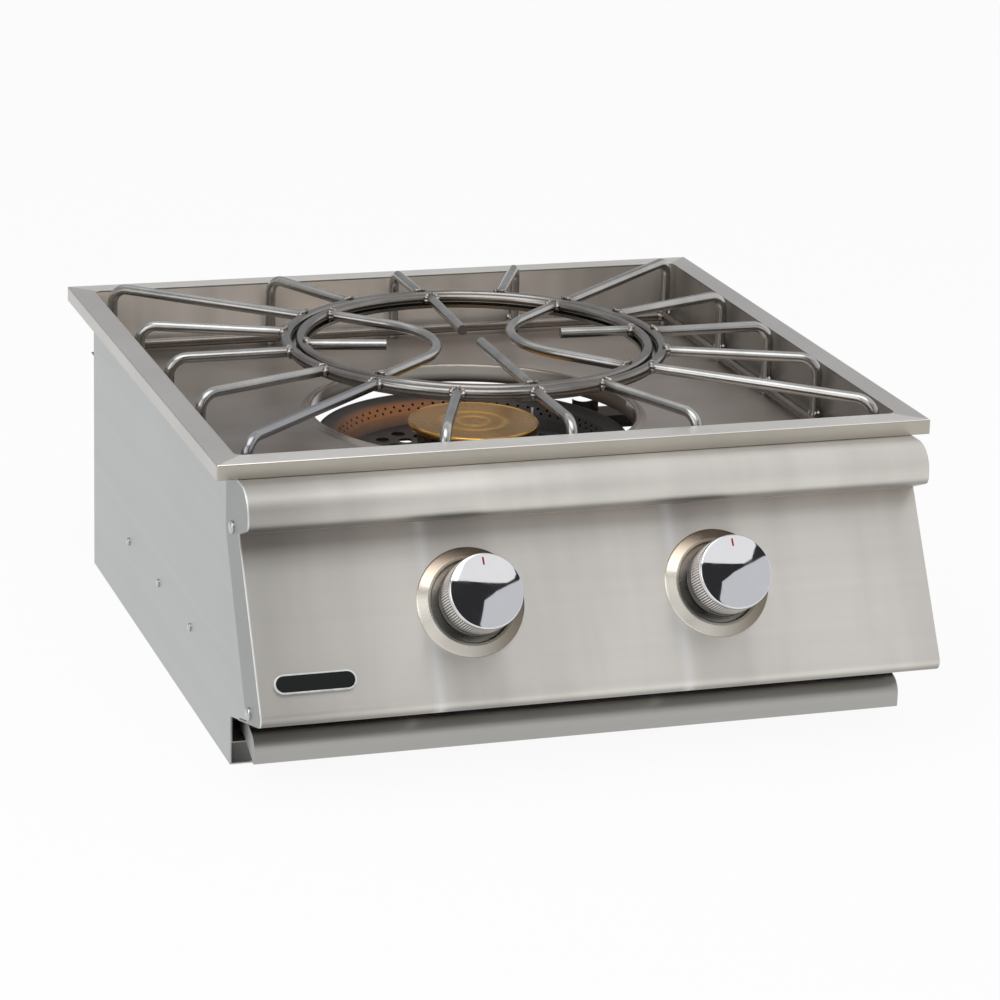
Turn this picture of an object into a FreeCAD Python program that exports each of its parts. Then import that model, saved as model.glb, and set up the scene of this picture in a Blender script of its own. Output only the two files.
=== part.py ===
import FreeCAD, Part
import math
import os

V = FreeCAD.Vector

# Built in side burner, millimetres. +Z is up, the control panel faces -Y, and the origin
# lies on the ground under the middle of the overall box.

# Rim and body
rim_width = 620.0
rim_depth = 583.0
body_height = 263.0
rim_skirt = 13.0
rim_sheet = 1.5
rim_edge_round = 1.3
side_ledge = 21.0
front_ledge = 24.0
back_ledge = 21.5
body_inset = 16.0
sheet = 1.2
seat_gap = 0.3
slide_gap = 0.3

# Basin
basin_depth = 58.0
basin_corner = 8.0
basin_bend = 3.0
basin_flange = 12.0
hole_radius = 146.0
lip_height = 3.0
lip_width = 9.0
lip_round = 2.4
lip_steps = 6
lip_skirt = 14.0

# Control panel profile
nose_reach = 37.0
nose_top_radius = 22.5
nose_under_radius = 8.0
nose_height = 25.5
nose_under_slope = 22.0
nose_under_run = 26.0
face_tilt = 30.0
face_length = 158.0
foot_radius = 8.0
return_slope = 15.0
return_length = 74.0
panel_flange_depth = 41.0
flange_seam_inset = 8.0
flange_low_overhang = 6.0
flange_screw_inset = 19.0
flange_screw_up = 13.0
flange_screw_down = 9.0
flange_screw_below = 1.5
side_panel_clear = 12.0
panel_hole_radius = 9.0

# Knobs and bezels
knob_spacing = 213.7
knobs_x_offset = -2.5
knob_drop = 69.5
bezel_radius = 45.5
bezel_edge = 1.6
bezel_rise = 6.0
bezel_mouth_radius = 34.0
bezel_floor = 1.2
bezel_hole_radius = 10.0
bezel_round = 0.8
bezel_slope_inset = 3.0
bezel_screw_angles = (45, 225)
bezel_screw_head = 1.2
knob_radius = 31.6
knob_base_radius = 31.0
knob_wall = 3.0
knob_bottom = 10.0
knob_base_height = 12.5
knob_height = 38.5
knob_hub_radius = 9.0
knurl_teeth = 72
knurl_depth = 0.9
cap_radius = 31.0
cap_height = 4.0
cap_edge = 1.4
cap_dome_radius = 190.0
mark_width = 1.5
mark_length = 6.5
mark_inset = 3.5
mark_depth = 0.6
push_travel = 3.0

# Badge
badge_length = 68.0
badge_height = 16.0
badge_thickness = 2.6
badge_border = 1.3
badge_inlay_depth = 0.8
badge_centre_x = -246.0
badge_drop = 124.0

# Valves and gas line
stem_radius = 4.0
stem_clearance = 0.05
stem_in_valve = 24.0
collar_radius = 7.0
collar_thickness = 1.5
collar_depth = 3.0
washer_radius = 9.0
washer_thickness = 1.5
spring_radius = 7.2
spring_wall = 1.4
spring_length = 10.0
valve_radius = 13.0
valve_length = 42.0
valve_outlet_depth = 24.0
valve_neck_radius = 9.0
valve_boss_radius = 8.0
valve_boss_reach = 25.5
manifold_radius = 12.5
manifold_wall = 2.0
manifold_drop = 36.0
manifold_overhang = 34.0
saddle_width = 30.0
saddle_wall = 4.0
bracket_width = 16.0
bracket_sheet = 2.5
bracket_flange = 15.0
bracket_spacing = 160.0
orifice_radius = 6.0
orifice_length = 10.0
orifice_nut_length = 5.0
orifice_tip_radius = 3.6
orifice_bore = 1.4
pipe_radius = 9.5
pipe_wall = 2.0
pipe_bend = 30.0
pipe_x = 225.0
inlet_thread_radius = 7.94
inlet_thread_length = 14.0
inlet_hex_radius = 12.0
inlet_hex_length = 9.0
inlet_bore = 5.0
inlet_past_back = 13.0

# Burner
burner_y_offset = 3.0
burner_drop = 100.0
ring_outer_radius = 140.0
ring_height = 21.0
ring_land = 3.0
ring_shelf_width = 13.0
ring_shelf_drop = 3.5
ring_port_slope = 7.0
ring_throat_drop = 13.0
ring_throat_slope = 5.0
ring_wall = 3.6
port_count = 76
port_radius = 1.3
port_row_share = (0.28, 0.64)
plate_thickness = 2.0
plate_hole_radius = 6.5
plate_hole_count = 24
plate_hole_insets = (20.0, 38.0)
head_radius = 50.0
head_height = 27.5
head_wall = 4.0
head_slots = 28
head_slot_width = 2.4
head_slot_depth = 5.0
head_chamfer = 3.0
cap_disc_radius = 59.0
cap_disc_thickness = 6.0
cap_spigot_depth = 6.0
cap_low_chamfer = 1.5
cap_top_chamfer = 2.0
cap_groove_radii = (15.0, 29.0)
cap_groove_width = 2.4
cap_groove_depth = 1.2
tube_radius = 16.0
tube_wall = 2.5
tube_bend = 32.0
tube_mouth_gap = 2.0
tube_window_length = 10.0
tube_window_width = 14.0
shutter_length = 18.0
shutter_wall = 1.5
bar_width = 32.0
bar_height = 12.0
bar_sheet = 1.5
bar_offset = 118.0
electrode_x = 71.0
electrode_y = 44.0
electrode_radius = 3.2
electrode_height = 19.0
electrode_pin_radius = 1.1
electrode_pin_height = 9.0
electrode_strap_margin = 3.0
electrode_strap_thickness = 2.0
electrode_collar_wall = 2.0
electrode_collar_height = 6.0
clip_width = 26.0
clip_height = 14.0
clip_foot = 10.0
clip_dip = 3.5
clip_spacing = 298.0

# Heat shield
shield_back_from_nose = 90.0
shield_height = 118.0
shield_clearance = 1.5

# Base, back and tray
back_setback = 36.5
base_flange = 32.0
base_front_setback = 17.0
window_half_width = 255.0
window_low = 33.0
window_high = 183.0
window_corner = 12.0
tray_side_clearance = 12.6
tray_height = 22.0
tray_floor_height = 19.5
tray_front_setback = 9.0
tray_back_clearance = 28.0
tray_sheet = 1.0
front_overlap = 5.0
front_reach = 27.0
front_height = 21.3
front_top_slope = 6.0
front_hem = 10.0
front_tab_height = 17.9
front_bend = 2.0
front_nose_bend = 14.0
front_end_depth = 45.0
front_end_height = 9.0
rail_ledge = 6.0
rail_past_tray = 10.0
rail_top_height = 79.0
rail_screw_height = 70.0
rail_screw_pitch = 118.5
rail_screw_y_offset = -14.0
screw_head_radius = 3.6
screw_head_height = 1.9
screw_shank_radius = 2.0
screw_length = 7.0
screw_head_round = 1.1
rivet_head_radius = 5.4
rivet_head_height = 2.6
rivet_head_round = 2.0

# Cooking grates
rod_radius = 4.75
weld_gap = 0.05
grate_y_offset = 3.0
ring_rod_height = 6.5
ring_flat = 0.9
rings_x_offset = -1.2
frame_x_offset = 1.0
outer_ring_radius = 167.6
inner_ring_radius = 154.7
ledge_inner_radius = 149.0
ledge_outer_radius = 166.8
ledge_thickness = 3.0
spoke_bend = 16.0
side_leg_x = 281.0
end_leg_y = 261.0
back_leg_inset = 2.7
corner_leg_x = 276.0
corner_leg_y = 252.0
side_leg_pitch = 115.0
front_leg_pitch = 111.0
back_leg_pitch = 122.0
frame_half_x = 277.0
frame_half_y = 252.0
frame_bend = 9.0
frame_drop = 49.5
loop_bend = 84.0
left_loop_corners = ((-104.0, 114.5), (1.5, 10.4), (-119.0, -99.0))
right_loop_corners = ((112.0, 106.7), (4.0, 7.0), (108.0, -110.7))
prong_ends = (((-152.0, 20.0), (-82.0, 5.0)), ((153.0, 7.0), (84.0, 12.0)),
              ((5.0, 153.0), (0.0, 39.0)), ((2.0, -153.0), (3.5, -5.0)))

# Places worked out from the sizes above
sin_tilt = math.sin(math.radians(face_tilt))
cos_tilt = math.cos(math.radians(face_tilt))
knob_top = knob_bottom + knob_height
under_drop = nose_under_run * math.sin(math.radians(nose_under_slope))
under_back = nose_under_run * math.cos(math.radians(nose_under_slope))
face_top_ahead = nose_reach - under_back - nose_under_radius * (
    1.0 - math.sin(math.radians(nose_under_slope)))
knob_ahead = face_top_ahead + knob_drop * sin_tilt
knob_reach = (knob_ahead + (knob_top - cap_edge) * cos_tilt
              + (cap_radius - cap_edge) * sin_tilt + cap_edge)
overall_depth = rim_depth + knob_reach
rim_back = overall_depth / 2.0
rim_front = rim_back - rim_depth
rim_mid = rim_back - rim_depth / 2.0
half_rim = rim_width / 2.0
half_body = half_rim - body_inset
panel_outer = half_body - sheet
panel_inner = panel_outer - sheet
nose_top = body_height - rim_skirt - seat_gap
nose_front = rim_front - nose_reach
under_centre_z = nose_top - nose_height
under_start_z = under_centre_z - nose_under_radius * math.cos(math.radians(nose_under_slope))
face_top_y = rim_front - face_top_ahead
face_top_z = under_start_z - under_drop
foot_y = face_top_y - face_length * sin_tilt
foot_z = face_top_z - face_length * cos_tilt
knob_y = rim_front - knob_ahead
knob_z = face_top_z - knob_drop * cos_tilt
left_knob_x = knobs_x_offset - knob_spacing / 2.0
right_knob_x = knobs_x_offset + knob_spacing / 2.0
basin_left = half_rim - side_ledge
basin_front = rim_front + front_ledge
basin_back = rim_back - back_ledge
basin_floor = body_height - basin_depth
basin_top = body_height - rim_sheet
body_back = rim_back - back_setback
base_front = rim_front + base_front_setback
burner_y = rim_mid + burner_y_offset
burner_z = body_height - burner_drop
grate_y = rim_mid + grate_y_offset
grate_z = body_height + ring_rod_height
frame_z = body_height - frame_drop
leg_foot_z = basin_floor + slide_gap
valve_outlet_y = knob_y + (collar_depth + collar_thickness + washer_thickness + spring_length
                           + valve_outlet_depth) * cos_tilt
valve_outlet_z = knob_z - (collar_depth + collar_thickness + washer_thickness + spring_length
                           + valve_outlet_depth) * sin_tilt
manifold_z = valve_outlet_z - manifold_drop
orifice_start = valve_outlet_y + valve_boss_reach
tube_start = orifice_start + orifice_length + tube_mouth_gap
shield_y = nose_front + shield_back_from_nose
ring_shelf_radius = ring_outer_radius - ring_land - ring_shelf_width
ring_throat_radius = ring_shelf_radius - ring_port_slope
ring_foot_radius = ring_throat_radius - ring_throat_slope
tray_half_width = panel_inner - tray_side_clearance
front_half_width = tray_half_width + front_overlap
tray_front_y = rim_front - tray_front_setback
tray_back_y = body_back - tray_back_clearance


def box(x0, x1, y0, y1, z0, z1):
    return Part.makeBox(x1 - x0, y1 - y0, z1 - z0, V(x0, y0, z0))


def cylinder(radius, start, end):
    axis = end - start
    return Part.makeCylinder(radius, axis.Length, start, axis)


def pipe(outer, inner, start, end):
    return cylinder(outer, start, end).cut(cylinder(inner, start, end))


def ring_of_revolution(profile, centre):
    # profile is a closed list of (radius, height) points, turned round a vertical axis
    points = [V(r, 0, z) for r, z in profile]
    face = Part.Face(Part.makePolygon(points + points[:1]))
    solid = face.revolve(V(0, 0, 0), V(0, 0, 1), 360)
    solid.translate(centre)
    return solid


def rounded_outline(points, radii):
    # closed wire in the plane x = 0 through (y, z) points, each corner rounded by its radius
    edges = []
    corners = []
    count = len(points)
    for i in range(count):
        before = V(0, *points[i - 1])
        here = V(0, *points[i])
        after = V(0, *points[(i + 1) % count])
        to_before = (before - here).normalize()
        to_after = (after - here).normalize()
        if radii[i] <= 0:
            corners.append((here, None, here))
            continue
        half = to_before.getAngle(to_after) / 2.0
        reach = radii[i] / math.tan(half)
        bisector = (to_before + to_after).normalize()
        centre = here + bisector * (radii[i] / math.sin(half))
        middle = centre - bisector * radii[i]
        corners.append((here + to_before * reach, middle, here + to_after * reach))
    for i in range(count):
        first, middle, last = corners[i]
        if middle is not None:
            edges.append(Part.Arc(first, middle, last).toShape())
        following = corners[(i + 1) % count][0]
        if last.distanceToPoint(following) > 1e-6:
            edges.append(Part.LineSegment(last, following).toShape())
    return Part.Wire(edges)


def plate_along_x(points, radii, x0, x1):
    face = Part.Face(rounded_outline(points, radii))
    face.translate(V(x0, 0, 0))
    return face.extrude(V(x1 - x0, 0, 0))


def offset_path(points, distance):
    # open path of (y, z) points moved to the left of its own direction
    lines = []
    for (y0, z0), (y1, z1) in zip(points, points[1:]):
        length = math.hypot(y1 - y0, z1 - z0)
        ny = -(z1 - z0) / length * distance
        nz = (y1 - y0) / length * distance
        lines.append(((y0 + ny, z0 + nz), (y1 + ny, z1 + nz)))
    moved = [lines[0][0]]
    for (a, b), (c, d) in zip(lines, lines[1:]):
        run = (b[0] - a[0], b[1] - a[1])
        other = (d[0] - c[0], d[1] - c[1])
        cross = run[0] * other[1] - run[1] * other[0]
        along = ((c[0] - a[0]) * other[1] - (c[1] - a[1]) * other[0]) / cross
        moved.append((a[0] + run[0] * along, a[1] + run[1] * along))
    moved.append(lines[-1][1])
    return moved


def bent_sheet(points, radii, thickness, x0, x1):
    # sheet whose outer skin follows the (y, z) path and whose metal lies on its left
    inner = offset_path(points, thickness)
    inner_radii = []
    for i, radius in enumerate(radii):
        if radius <= 0:
            inner_radii.append(0.0)
            continue
        a, b, c = points[i - 1], points[i], points[i + 1]
        turn = (b[0] - a[0]) * (c[1] - b[1]) - (b[1] - a[1]) * (c[0] - b[0])
        inner_radii.append(radius - thickness if turn > 0 else radius + thickness)
    return plate_along_x(points + inner[::-1], list(radii) + inner_radii[::-1], x0, x1)


def rod(points, bend, radius):
    # round bar through the points, with every inner corner turned at the bend radius
    pieces = []
    start = points[0]
    for i in range(1, len(points)):
        here = points[i]
        if i == len(points) - 1:
            pieces.append(cylinder(radius, start, here))
            break
        to_before = (points[i - 1] - here).normalize()
        to_after = (points[i + 1] - here).normalize()
        half = to_before.getAngle(to_after) / 2.0
        reach = bend / math.tan(half)
        first = here + to_before * reach
        last = here + to_after * reach
        pieces.append(cylinder(radius, start, first))
        centre = here + (to_before + to_after).normalize() * (bend / math.sin(half))
        axis = (first - centre).cross(last - centre)
        section = Part.Face(Part.Wire(Part.Circle(first, to_before, radius).toShape()))
        turn = 180.0 - math.degrees(2.0 * half)
        pieces.append(section.revolve(centre, axis, turn))
        start = last
    return pieces[0].fuse(pieces[1:]).removeSplitter() if len(pieces) > 1 else pieces[0]


def hexagon(radius, start, length, direction):
    points = [V(radius * math.cos(math.radians(60 * i)), radius * math.sin(math.radians(60 * i)), 0)
              for i in range(7)]
    prism = Part.Face(Part.makePolygon(points)).extrude(V(0, 0, length))
    prism.Placement = FreeCAD.Placement(start, FreeCAD.Rotation(V(0, 0, 1), direction))
    return prism


def on_panel(shape, x, drop):
    # local Z leaves the sloping face squarely, local Y points up along it
    placed = shape.copy()
    y = face_top_y - drop * sin_tilt
    z = face_top_z - drop * cos_tilt
    turn = FreeCAD.Rotation(V(1, 0, 0), 90.0 - face_tilt)
    placed.Placement = FreeCAD.Placement(V(x, y, z), turn).multiply(placed.Placement)
    return placed


def return_height(y):
    # height of the panel's sloping bottom edge at a depth
    return foot_z - (y - foot_y) * math.tan(math.radians(return_slope))


def face_depth(z):
    # depth of the sloping face at a height
    return face_top_y - (face_top_z - z) * math.tan(math.radians(face_tilt))


def make_top_rim():
    # the return under the rim runs along both sides and the back, behind the control panel
    low = body_height - rim_skirt
    outer = box(-half_rim, half_rim, rim_front, rim_back, low, body_height)
    outer = outer.makeFillet(rim_edge_round, upright_edges(outer) + top_edges(outer, body_height))
    inside = half_rim - rim_sheet
    hollow = box(-inside, inside, rim_front + rim_sheet, rim_back - rim_sheet,
                 body_height - rim_skirt + rim_sheet, body_height - rim_sheet)
    return_in = half_rim - (panel_outer + seat_gap)
    well = box(-half_rim + return_in, half_rim - return_in, rim_front + return_in,
               rim_back - return_in, body_height - rim_skirt, body_height - rim_sheet)
    opening = box(-basin_left, basin_left, basin_front, basin_back,
                  body_height - rim_skirt, body_height)
    opening = opening.makeFillet(basin_corner, upright_edges(opening))
    return_front = rim_front + panel_flange_depth - flange_seam_inset + seat_gap
    front_room = box(-inside, inside, rim_front + rim_sheet, return_front, low, low + rim_skirt / 2)
    front_hem = box(-half_rim, half_rim, rim_front, rim_front + rim_sheet, low, low + seat_gap)
    return outer.cut([hollow, well, opening, front_room, front_hem])


def upright_edges(solid):
    edges = []
    for edge in solid.Edges:
        ends = edge.Vertexes
        if len(ends) == 2 and abs(ends[0].Z - ends[1].Z) > 1.0:
            edges.append(edge)
    return edges


def low_edges(solid, height):
    return [edge for edge in solid.Edges if abs(edge.BoundBox.ZMax - height) < 1e-6]


def top_edges(solid, height):
    return [edge for edge in solid.Edges if abs(edge.BoundBox.ZMin - height) < 1e-6]


def make_basin():
    outer = box(-basin_left - sheet, basin_left + sheet, basin_front - sheet, basin_back + sheet,
                basin_floor - sheet, basin_top)
    outer = outer.makeFillet(basin_corner + sheet, upright_edges(outer))
    outer = outer.makeFillet(basin_bend + sheet, low_edges(outer, basin_floor - sheet))
    inner = box(-basin_left, basin_left, basin_front, basin_back, basin_floor, basin_top)
    inner = inner.makeFillet(basin_corner, upright_edges(inner))
    inner = inner.makeFillet(basin_bend, low_edges(inner, basin_floor))
    flange = box(-basin_left - basin_flange, basin_left + basin_flange,
                 basin_front - basin_flange, basin_back + basin_flange,
                 basin_top - sheet, basin_top)
    well = Part.makeCylinder(hole_radius + lip_width, basin_depth,
                             V(0, burner_y, basin_floor - sheet))
    pan = outer.fuse(flange).cut(inner).cut(well)
    edge = hole_radius
    foot = hole_radius + lip_width
    lip = [(foot, 0)] + lip_arc(lip_round)[::-1] + [(edge, -lip_skirt), (edge + sheet, -lip_skirt)]
    lip += lip_arc(lip_round - sheet) + [(foot, -sheet)]
    roll = ring_of_revolution(lip, V(0, burner_y, basin_floor))
    return pan.fuse(roll).removeSplitter()


def lip_arc(radius):
    # quarter round at the crest of the hole's lip, from its skirt up to its top
    centre_r = hole_radius + lip_round
    centre_z = lip_height - lip_round
    turns = [math.radians(90.0 * i / lip_steps) for i in range(lip_steps + 1)]
    return [(centre_r - radius * math.cos(turn), centre_z + radius * math.sin(turn))
            for turn in turns]


def side_panel(side):
    top = basin_top - sheet
    shelf_gap = sheet + seat_gap
    step_y = basin_front - sheet - 2 * seat_gap
    shoulder_y = face_top_y + side_panel_clear
    shoulder_z = face_top_z - 3 * seat_gap
    toe_z = foot_z + 2 * foot_radius
    toe_y = face_depth(toe_z) + side_panel_clear + 2 * seat_gap
    return_end = foot_y + return_length
    points = [(body_back, 0.0), (body_back, top), (step_y, top), (step_y, nose_top - shelf_gap),
              (shoulder_y, nose_top - shelf_gap), (shoulder_y, shoulder_z), (toe_y, toe_z),
              (toe_y, return_height(toe_y) + 1.5 * sheet),
              (return_end + seat_gap, return_height(return_end) + 1.5 * sheet),
              (return_end + seat_gap, return_height(return_end)),
              (base_front, return_height(base_front)), (base_front, 0.0)]
    web = plate_along_x(points, [0.0] * len(points), panel_inner, panel_outer)
    foot = box(panel_outer - base_flange, panel_outer, base_front, body_back, 0.0, sheet)
    panel = web.fuse(foot)
    holes = [cylinder(screw_shank_radius, V(panel_inner - sheet, y, z), V(panel_outer + sheet, y, z))
             for y, z in rail_screw_places() + flange_screw_places()]
    panel = panel.cut(holes).removeSplitter()
    return panel if side > 0 else panel.mirror(V(0, 0, 0), V(1, 0, 0))


def rail_screw_places():
    return [(rim_mid + rail_screw_y_offset + i * rail_screw_pitch, rail_screw_height)
            for i in (-1, 0, 1)]


def flange_screw_places():
    low_y = face_depth(foot_z + flange_screw_up) + panel_flange_depth - flange_screw_down
    return [(face_depth(face_top_z) + flange_screw_inset, face_top_z),
            (low_y, foot_z - flange_screw_below)]


def panel_path():
    slope = math.radians(nose_under_slope)
    # where the upright nose and the sloping underside would meet if the corner were sharp
    sharp = nose_under_radius * math.tan((math.pi / 2 - slope) / 2.0)
    under_z = under_centre_z - sharp
    top_back = basin_front - sheet - seat_gap * 3
    end_y = foot_y + return_length
    points = [(top_back, nose_top), (nose_front, nose_top), (nose_front, under_z),
              (face_top_y, face_top_z), (foot_y, foot_z), (end_y, return_height(end_y))]
    radii = [0.0, nose_top_radius, nose_under_radius, 0.0, foot_radius, 0.0]
    return points, radii


def make_control_panel():
    points, radii = panel_path()
    skin = bent_sheet(points, radii, sheet, -half_body, half_body)
    seam_y = rim_front + panel_flange_depth - flange_seam_inset
    low_seam_y = foot_y + panel_flange_depth + flange_low_overhang
    knee_z = face_top_z - flange_seam_inset
    outline = [(seam_y, nose_top)] + points[1:5] + [
        (low_seam_y, return_height(low_seam_y)), (seam_y, knee_z)]
    corners = [0.0] + radii[1:5] + [0.0, 0.0]
    right = plate_along_x(outline, corners, panel_outer, half_body)
    left = plate_along_x(outline, corners, -half_body, -panel_outer)
    panel = skin.fuse([right, left]).removeSplitter()
    cuts = []
    for x in (left_knob_x, right_knob_x):
        hole = cylinder(panel_hole_radius, V(0, 0, -2 * sheet), V(0, 0, sheet))
        cuts.append(on_panel(hole, x, knob_drop))
        for angle in bezel_screw_angles:
            spot = bezel_screw_spot(angle)
            hole = cylinder(screw_shank_radius, spot + V(0, 0, -2 * sheet), spot + V(0, 0, sheet))
            cuts.append(on_panel(hole, x, knob_drop))
    for y, z in flange_screw_places():
        cuts.append(cylinder(screw_shank_radius, V(-half_rim, y, z), V(half_rim, y, z)))
    return panel.cut(cuts)


def bezel_screw_spot(angle):
    spread = (bezel_mouth_radius + panel_hole_radius) / 2.0
    turn = math.radians(angle)
    return V(spread * math.cos(turn), spread * math.sin(turn), 0)


def make_bezel(x):
    mouth = bezel_mouth_radius
    profile = [(bezel_hole_radius, 0), (bezel_radius, 0), (bezel_radius, bezel_edge),
               (bezel_radius - bezel_round, bezel_edge + bezel_round),
               (mouth + bezel_slope_inset, bezel_rise), (mouth + bezel_round, bezel_rise),
               (mouth, bezel_rise - bezel_round), (mouth, bezel_floor),
               (bezel_hole_radius, bezel_floor)]
    bezel = ring_of_revolution(profile, V(0, 0, 0))
    holes = [cylinder(screw_shank_radius, bezel_screw_spot(angle) - V(0, 0, bezel_floor),
                      bezel_screw_spot(angle) + V(0, 0, bezel_rise))
             for angle in bezel_screw_angles]
    return on_panel(bezel.cut(holes), x, knob_drop)


def make_bezel_screws():
    screws = []
    for x in (left_knob_x, right_knob_x):
        for angle in bezel_screw_angles:
            spot = bezel_screw_spot(angle)
            head = cylinder(screw_head_radius, spot + V(0, 0, bezel_floor),
                            spot + V(0, 0, bezel_floor + bezel_screw_head))
            shank = cylinder(screw_shank_radius, spot + V(0, 0, bezel_floor - screw_length),
                             spot + V(0, 0, bezel_floor))
            screws.append(on_panel(head.fuse(shank).removeSplitter(), x, knob_drop))
    return Part.makeCompound(screws)


def side_screw(side, outer_x, place, radius, height, rounding):
    under_head = V(side * outer_x, *place)
    out = V(side, 0, 0)
    head = cylinder(radius, under_head, under_head + out * height)
    head = head.makeFillet(rounding, [edge for edge in head.Edges if edge.Closed
                                      and abs(edge.CenterOfMass.x) > outer_x + height / 2])
    shank = cylinder(screw_shank_radius, under_head - out * screw_length, under_head)
    return head.fuse(shank).removeSplitter()


def make_rail_screws():
    return Part.makeCompound([side_screw(side, panel_outer, place, screw_head_radius,
                                         screw_head_height, screw_head_round)
                              for side in (-1, 1) for place in rail_screw_places()])


def make_flange_screws():
    return Part.makeCompound([side_screw(side, half_body, place, rivet_head_radius,
                                         rivet_head_height, rivet_head_round)
                              for side in (-1, 1) for place in flange_screw_places()])


def oval(length, height, z0, z1):
    half = length / 2.0 - height / 2.0
    points = [(half, -height / 2.0), (half, height / 2.0), (-half, height / 2.0),
              (-half, -height / 2.0)]
    slab = box(-half, half, -height / 2.0, height / 2.0, z0, z1)
    ends = [cylinder(height / 2.0, V(x, 0, z0), V(x, 0, z1)) for x in (points[0][0], points[2][0])]
    return slab.fuse(ends).removeSplitter()


def make_badge_border():
    plate = oval(badge_length, badge_height, 0.0, badge_thickness)
    pocket = oval(badge_length - 2 * badge_border, badge_height - 2 * badge_border,
                  badge_thickness - badge_inlay_depth, badge_thickness)
    return on_panel(plate.cut(pocket), badge_centre_x, badge_drop)


def make_badge_inlay():
    inlay = oval(badge_length - 2 * badge_border, badge_height - 2 * badge_border,
                 badge_thickness - badge_inlay_depth, badge_thickness - badge_inlay_depth / 4.0)
    return on_panel(inlay, badge_centre_x, badge_drop)


def make_knob(x):
    base_top = knob_bottom + knob_base_height
    base = cylinder(knob_base_radius, V(0, 0, knob_bottom), V(0, 0, base_top))
    points = []
    for i in range(2 * knurl_teeth):
        radius = knob_radius if i % 2 == 0 else knob_radius - knurl_depth
        angle = math.pi * i / knurl_teeth
        points.append(V(radius * math.cos(angle), radius * math.sin(angle), base_top))
    grip_height = knob_height - knob_base_height - cap_height
    grip = Part.Face(Part.makePolygon(points + points[:1])).extrude(V(0, 0, grip_height))
    body = base.fuse(grip)
    ceiling = knob_bottom + knob_height - cap_height - knob_wall
    hollow = pipe(knob_base_radius - knob_wall, knob_hub_radius, V(0, 0, knob_bottom),
                  V(0, 0, ceiling))
    bore = cylinder(stem_radius, V(0, 0, knob_bottom), V(0, 0, ceiling - knob_wall))
    return on_panel(body.cut([hollow, bore]), x, knob_drop)


def make_knob_cap(x):
    low = knob_top - cap_height
    blank = cylinder(cap_radius, V(0, 0, low), V(0, 0, knob_top + cap_height))
    cap = blank.common(cap_dome())
    cap = cap.makeFillet(cap_edge, [edge for edge in cap.Edges
                                    if edge.Closed and edge.CenterOfMass.z > low + cap_edge])
    return on_panel(cap.cut(mark_block()), x, knob_drop)


def cap_dome():
    # ball whose shallow crown closes the cap, level with the rounded edge at the cap's rim
    edge_reach = cap_radius - cap_edge
    centre_z = knob_top - cap_edge - math.sqrt((cap_dome_radius - cap_edge) ** 2 - edge_reach ** 2)
    return Part.makeSphere(cap_dome_radius, V(0, 0, centre_z))


def mark_block():
    high = cap_radius - mark_inset
    return box(-mark_width / 2, mark_width / 2, high - mark_length, high,
               knob_top - mark_depth, knob_top + cap_height)


def make_knob_mark(x):
    return on_panel(mark_block().common(cap_dome()), x, knob_drop)


def make_valve_stem(x):
    end = -(collar_depth + collar_thickness + washer_thickness + spring_length + stem_in_valve)
    top = knob_bottom + knob_height - cap_height - 2 * knob_wall
    shaft = cylinder(stem_radius, V(0, 0, end), V(0, 0, top))
    collar = cylinder(collar_radius, V(0, 0, -collar_depth - collar_thickness),
                      V(0, 0, -collar_depth))
    return on_panel(shaft.fuse(collar).removeSplitter(), x, knob_drop)


def make_thrust_washer(x):
    face = -(collar_depth + collar_thickness)
    washer = pipe(washer_radius, stem_radius + seat_gap, V(0, 0, face - washer_thickness),
                  V(0, 0, face))
    return on_panel(washer, x, knob_drop)


def make_return_spring(x):
    top = -(collar_depth + collar_thickness + washer_thickness)
    coil = pipe(spring_radius, spring_radius - spring_wall, V(0, 0, top - spring_length),
                V(0, 0, top))
    return on_panel(coil, x, knob_drop)


def make_valve_body(x):
    front = -(collar_depth + collar_thickness + washer_thickness + spring_length)
    barrel = on_panel(cylinder(valve_radius, V(0, 0, front - valve_length), V(0, 0, front)),
                      x, knob_drop)
    centre = V(x, valve_outlet_y, valve_outlet_z)
    saddle_half = manifold_radius + saddle_wall
    neck = cylinder(valve_neck_radius, V(x, valve_outlet_y, manifold_z), centre)
    saddle = box(x - saddle_width / 2, x + saddle_width / 2, valve_outlet_y - saddle_half,
                 valve_outlet_y + saddle_half, manifold_z - saddle_half, manifold_z + saddle_half)
    boss = cylinder(valve_boss_radius, centre, V(x, orifice_start, valve_outlet_z))
    body = barrel.fuse([neck, saddle, boss])
    stem_hole = on_panel(cylinder(stem_radius + stem_clearance,
                                  V(0, 0, front - stem_in_valve - 2 * push_travel),
                                  V(0, 0, front)), x, knob_drop)
    manifold_hole = cylinder(manifold_radius, V(x - saddle_width, valve_outlet_y, manifold_z),
                             V(x + saddle_width, valve_outlet_y, manifold_z))
    return body.cut([stem_hole, manifold_hole]).removeSplitter()


def make_orifice(x):
    start = V(x, orifice_start, valve_outlet_z)
    nut = hexagon(orifice_radius, start, orifice_nut_length, V(0, 1, 0))
    tip = cylinder(orifice_tip_radius, start + V(0, orifice_nut_length, 0),
                   start + V(0, orifice_length, 0))
    bore = cylinder(orifice_bore, start, start + V(0, orifice_length, 0))
    return nut.fuse(tip).cut(bore)


def make_gas_manifold():
    left = V(left_knob_x - manifold_overhang, valve_outlet_y, manifold_z)
    right = V(right_knob_x + manifold_overhang, valve_outlet_y, manifold_z)
    body = cylinder(manifold_radius, left, right)
    hollow = cylinder(manifold_radius - manifold_wall, left + V(manifold_wall, 0, 0), right)
    return body.cut(hollow)


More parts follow.
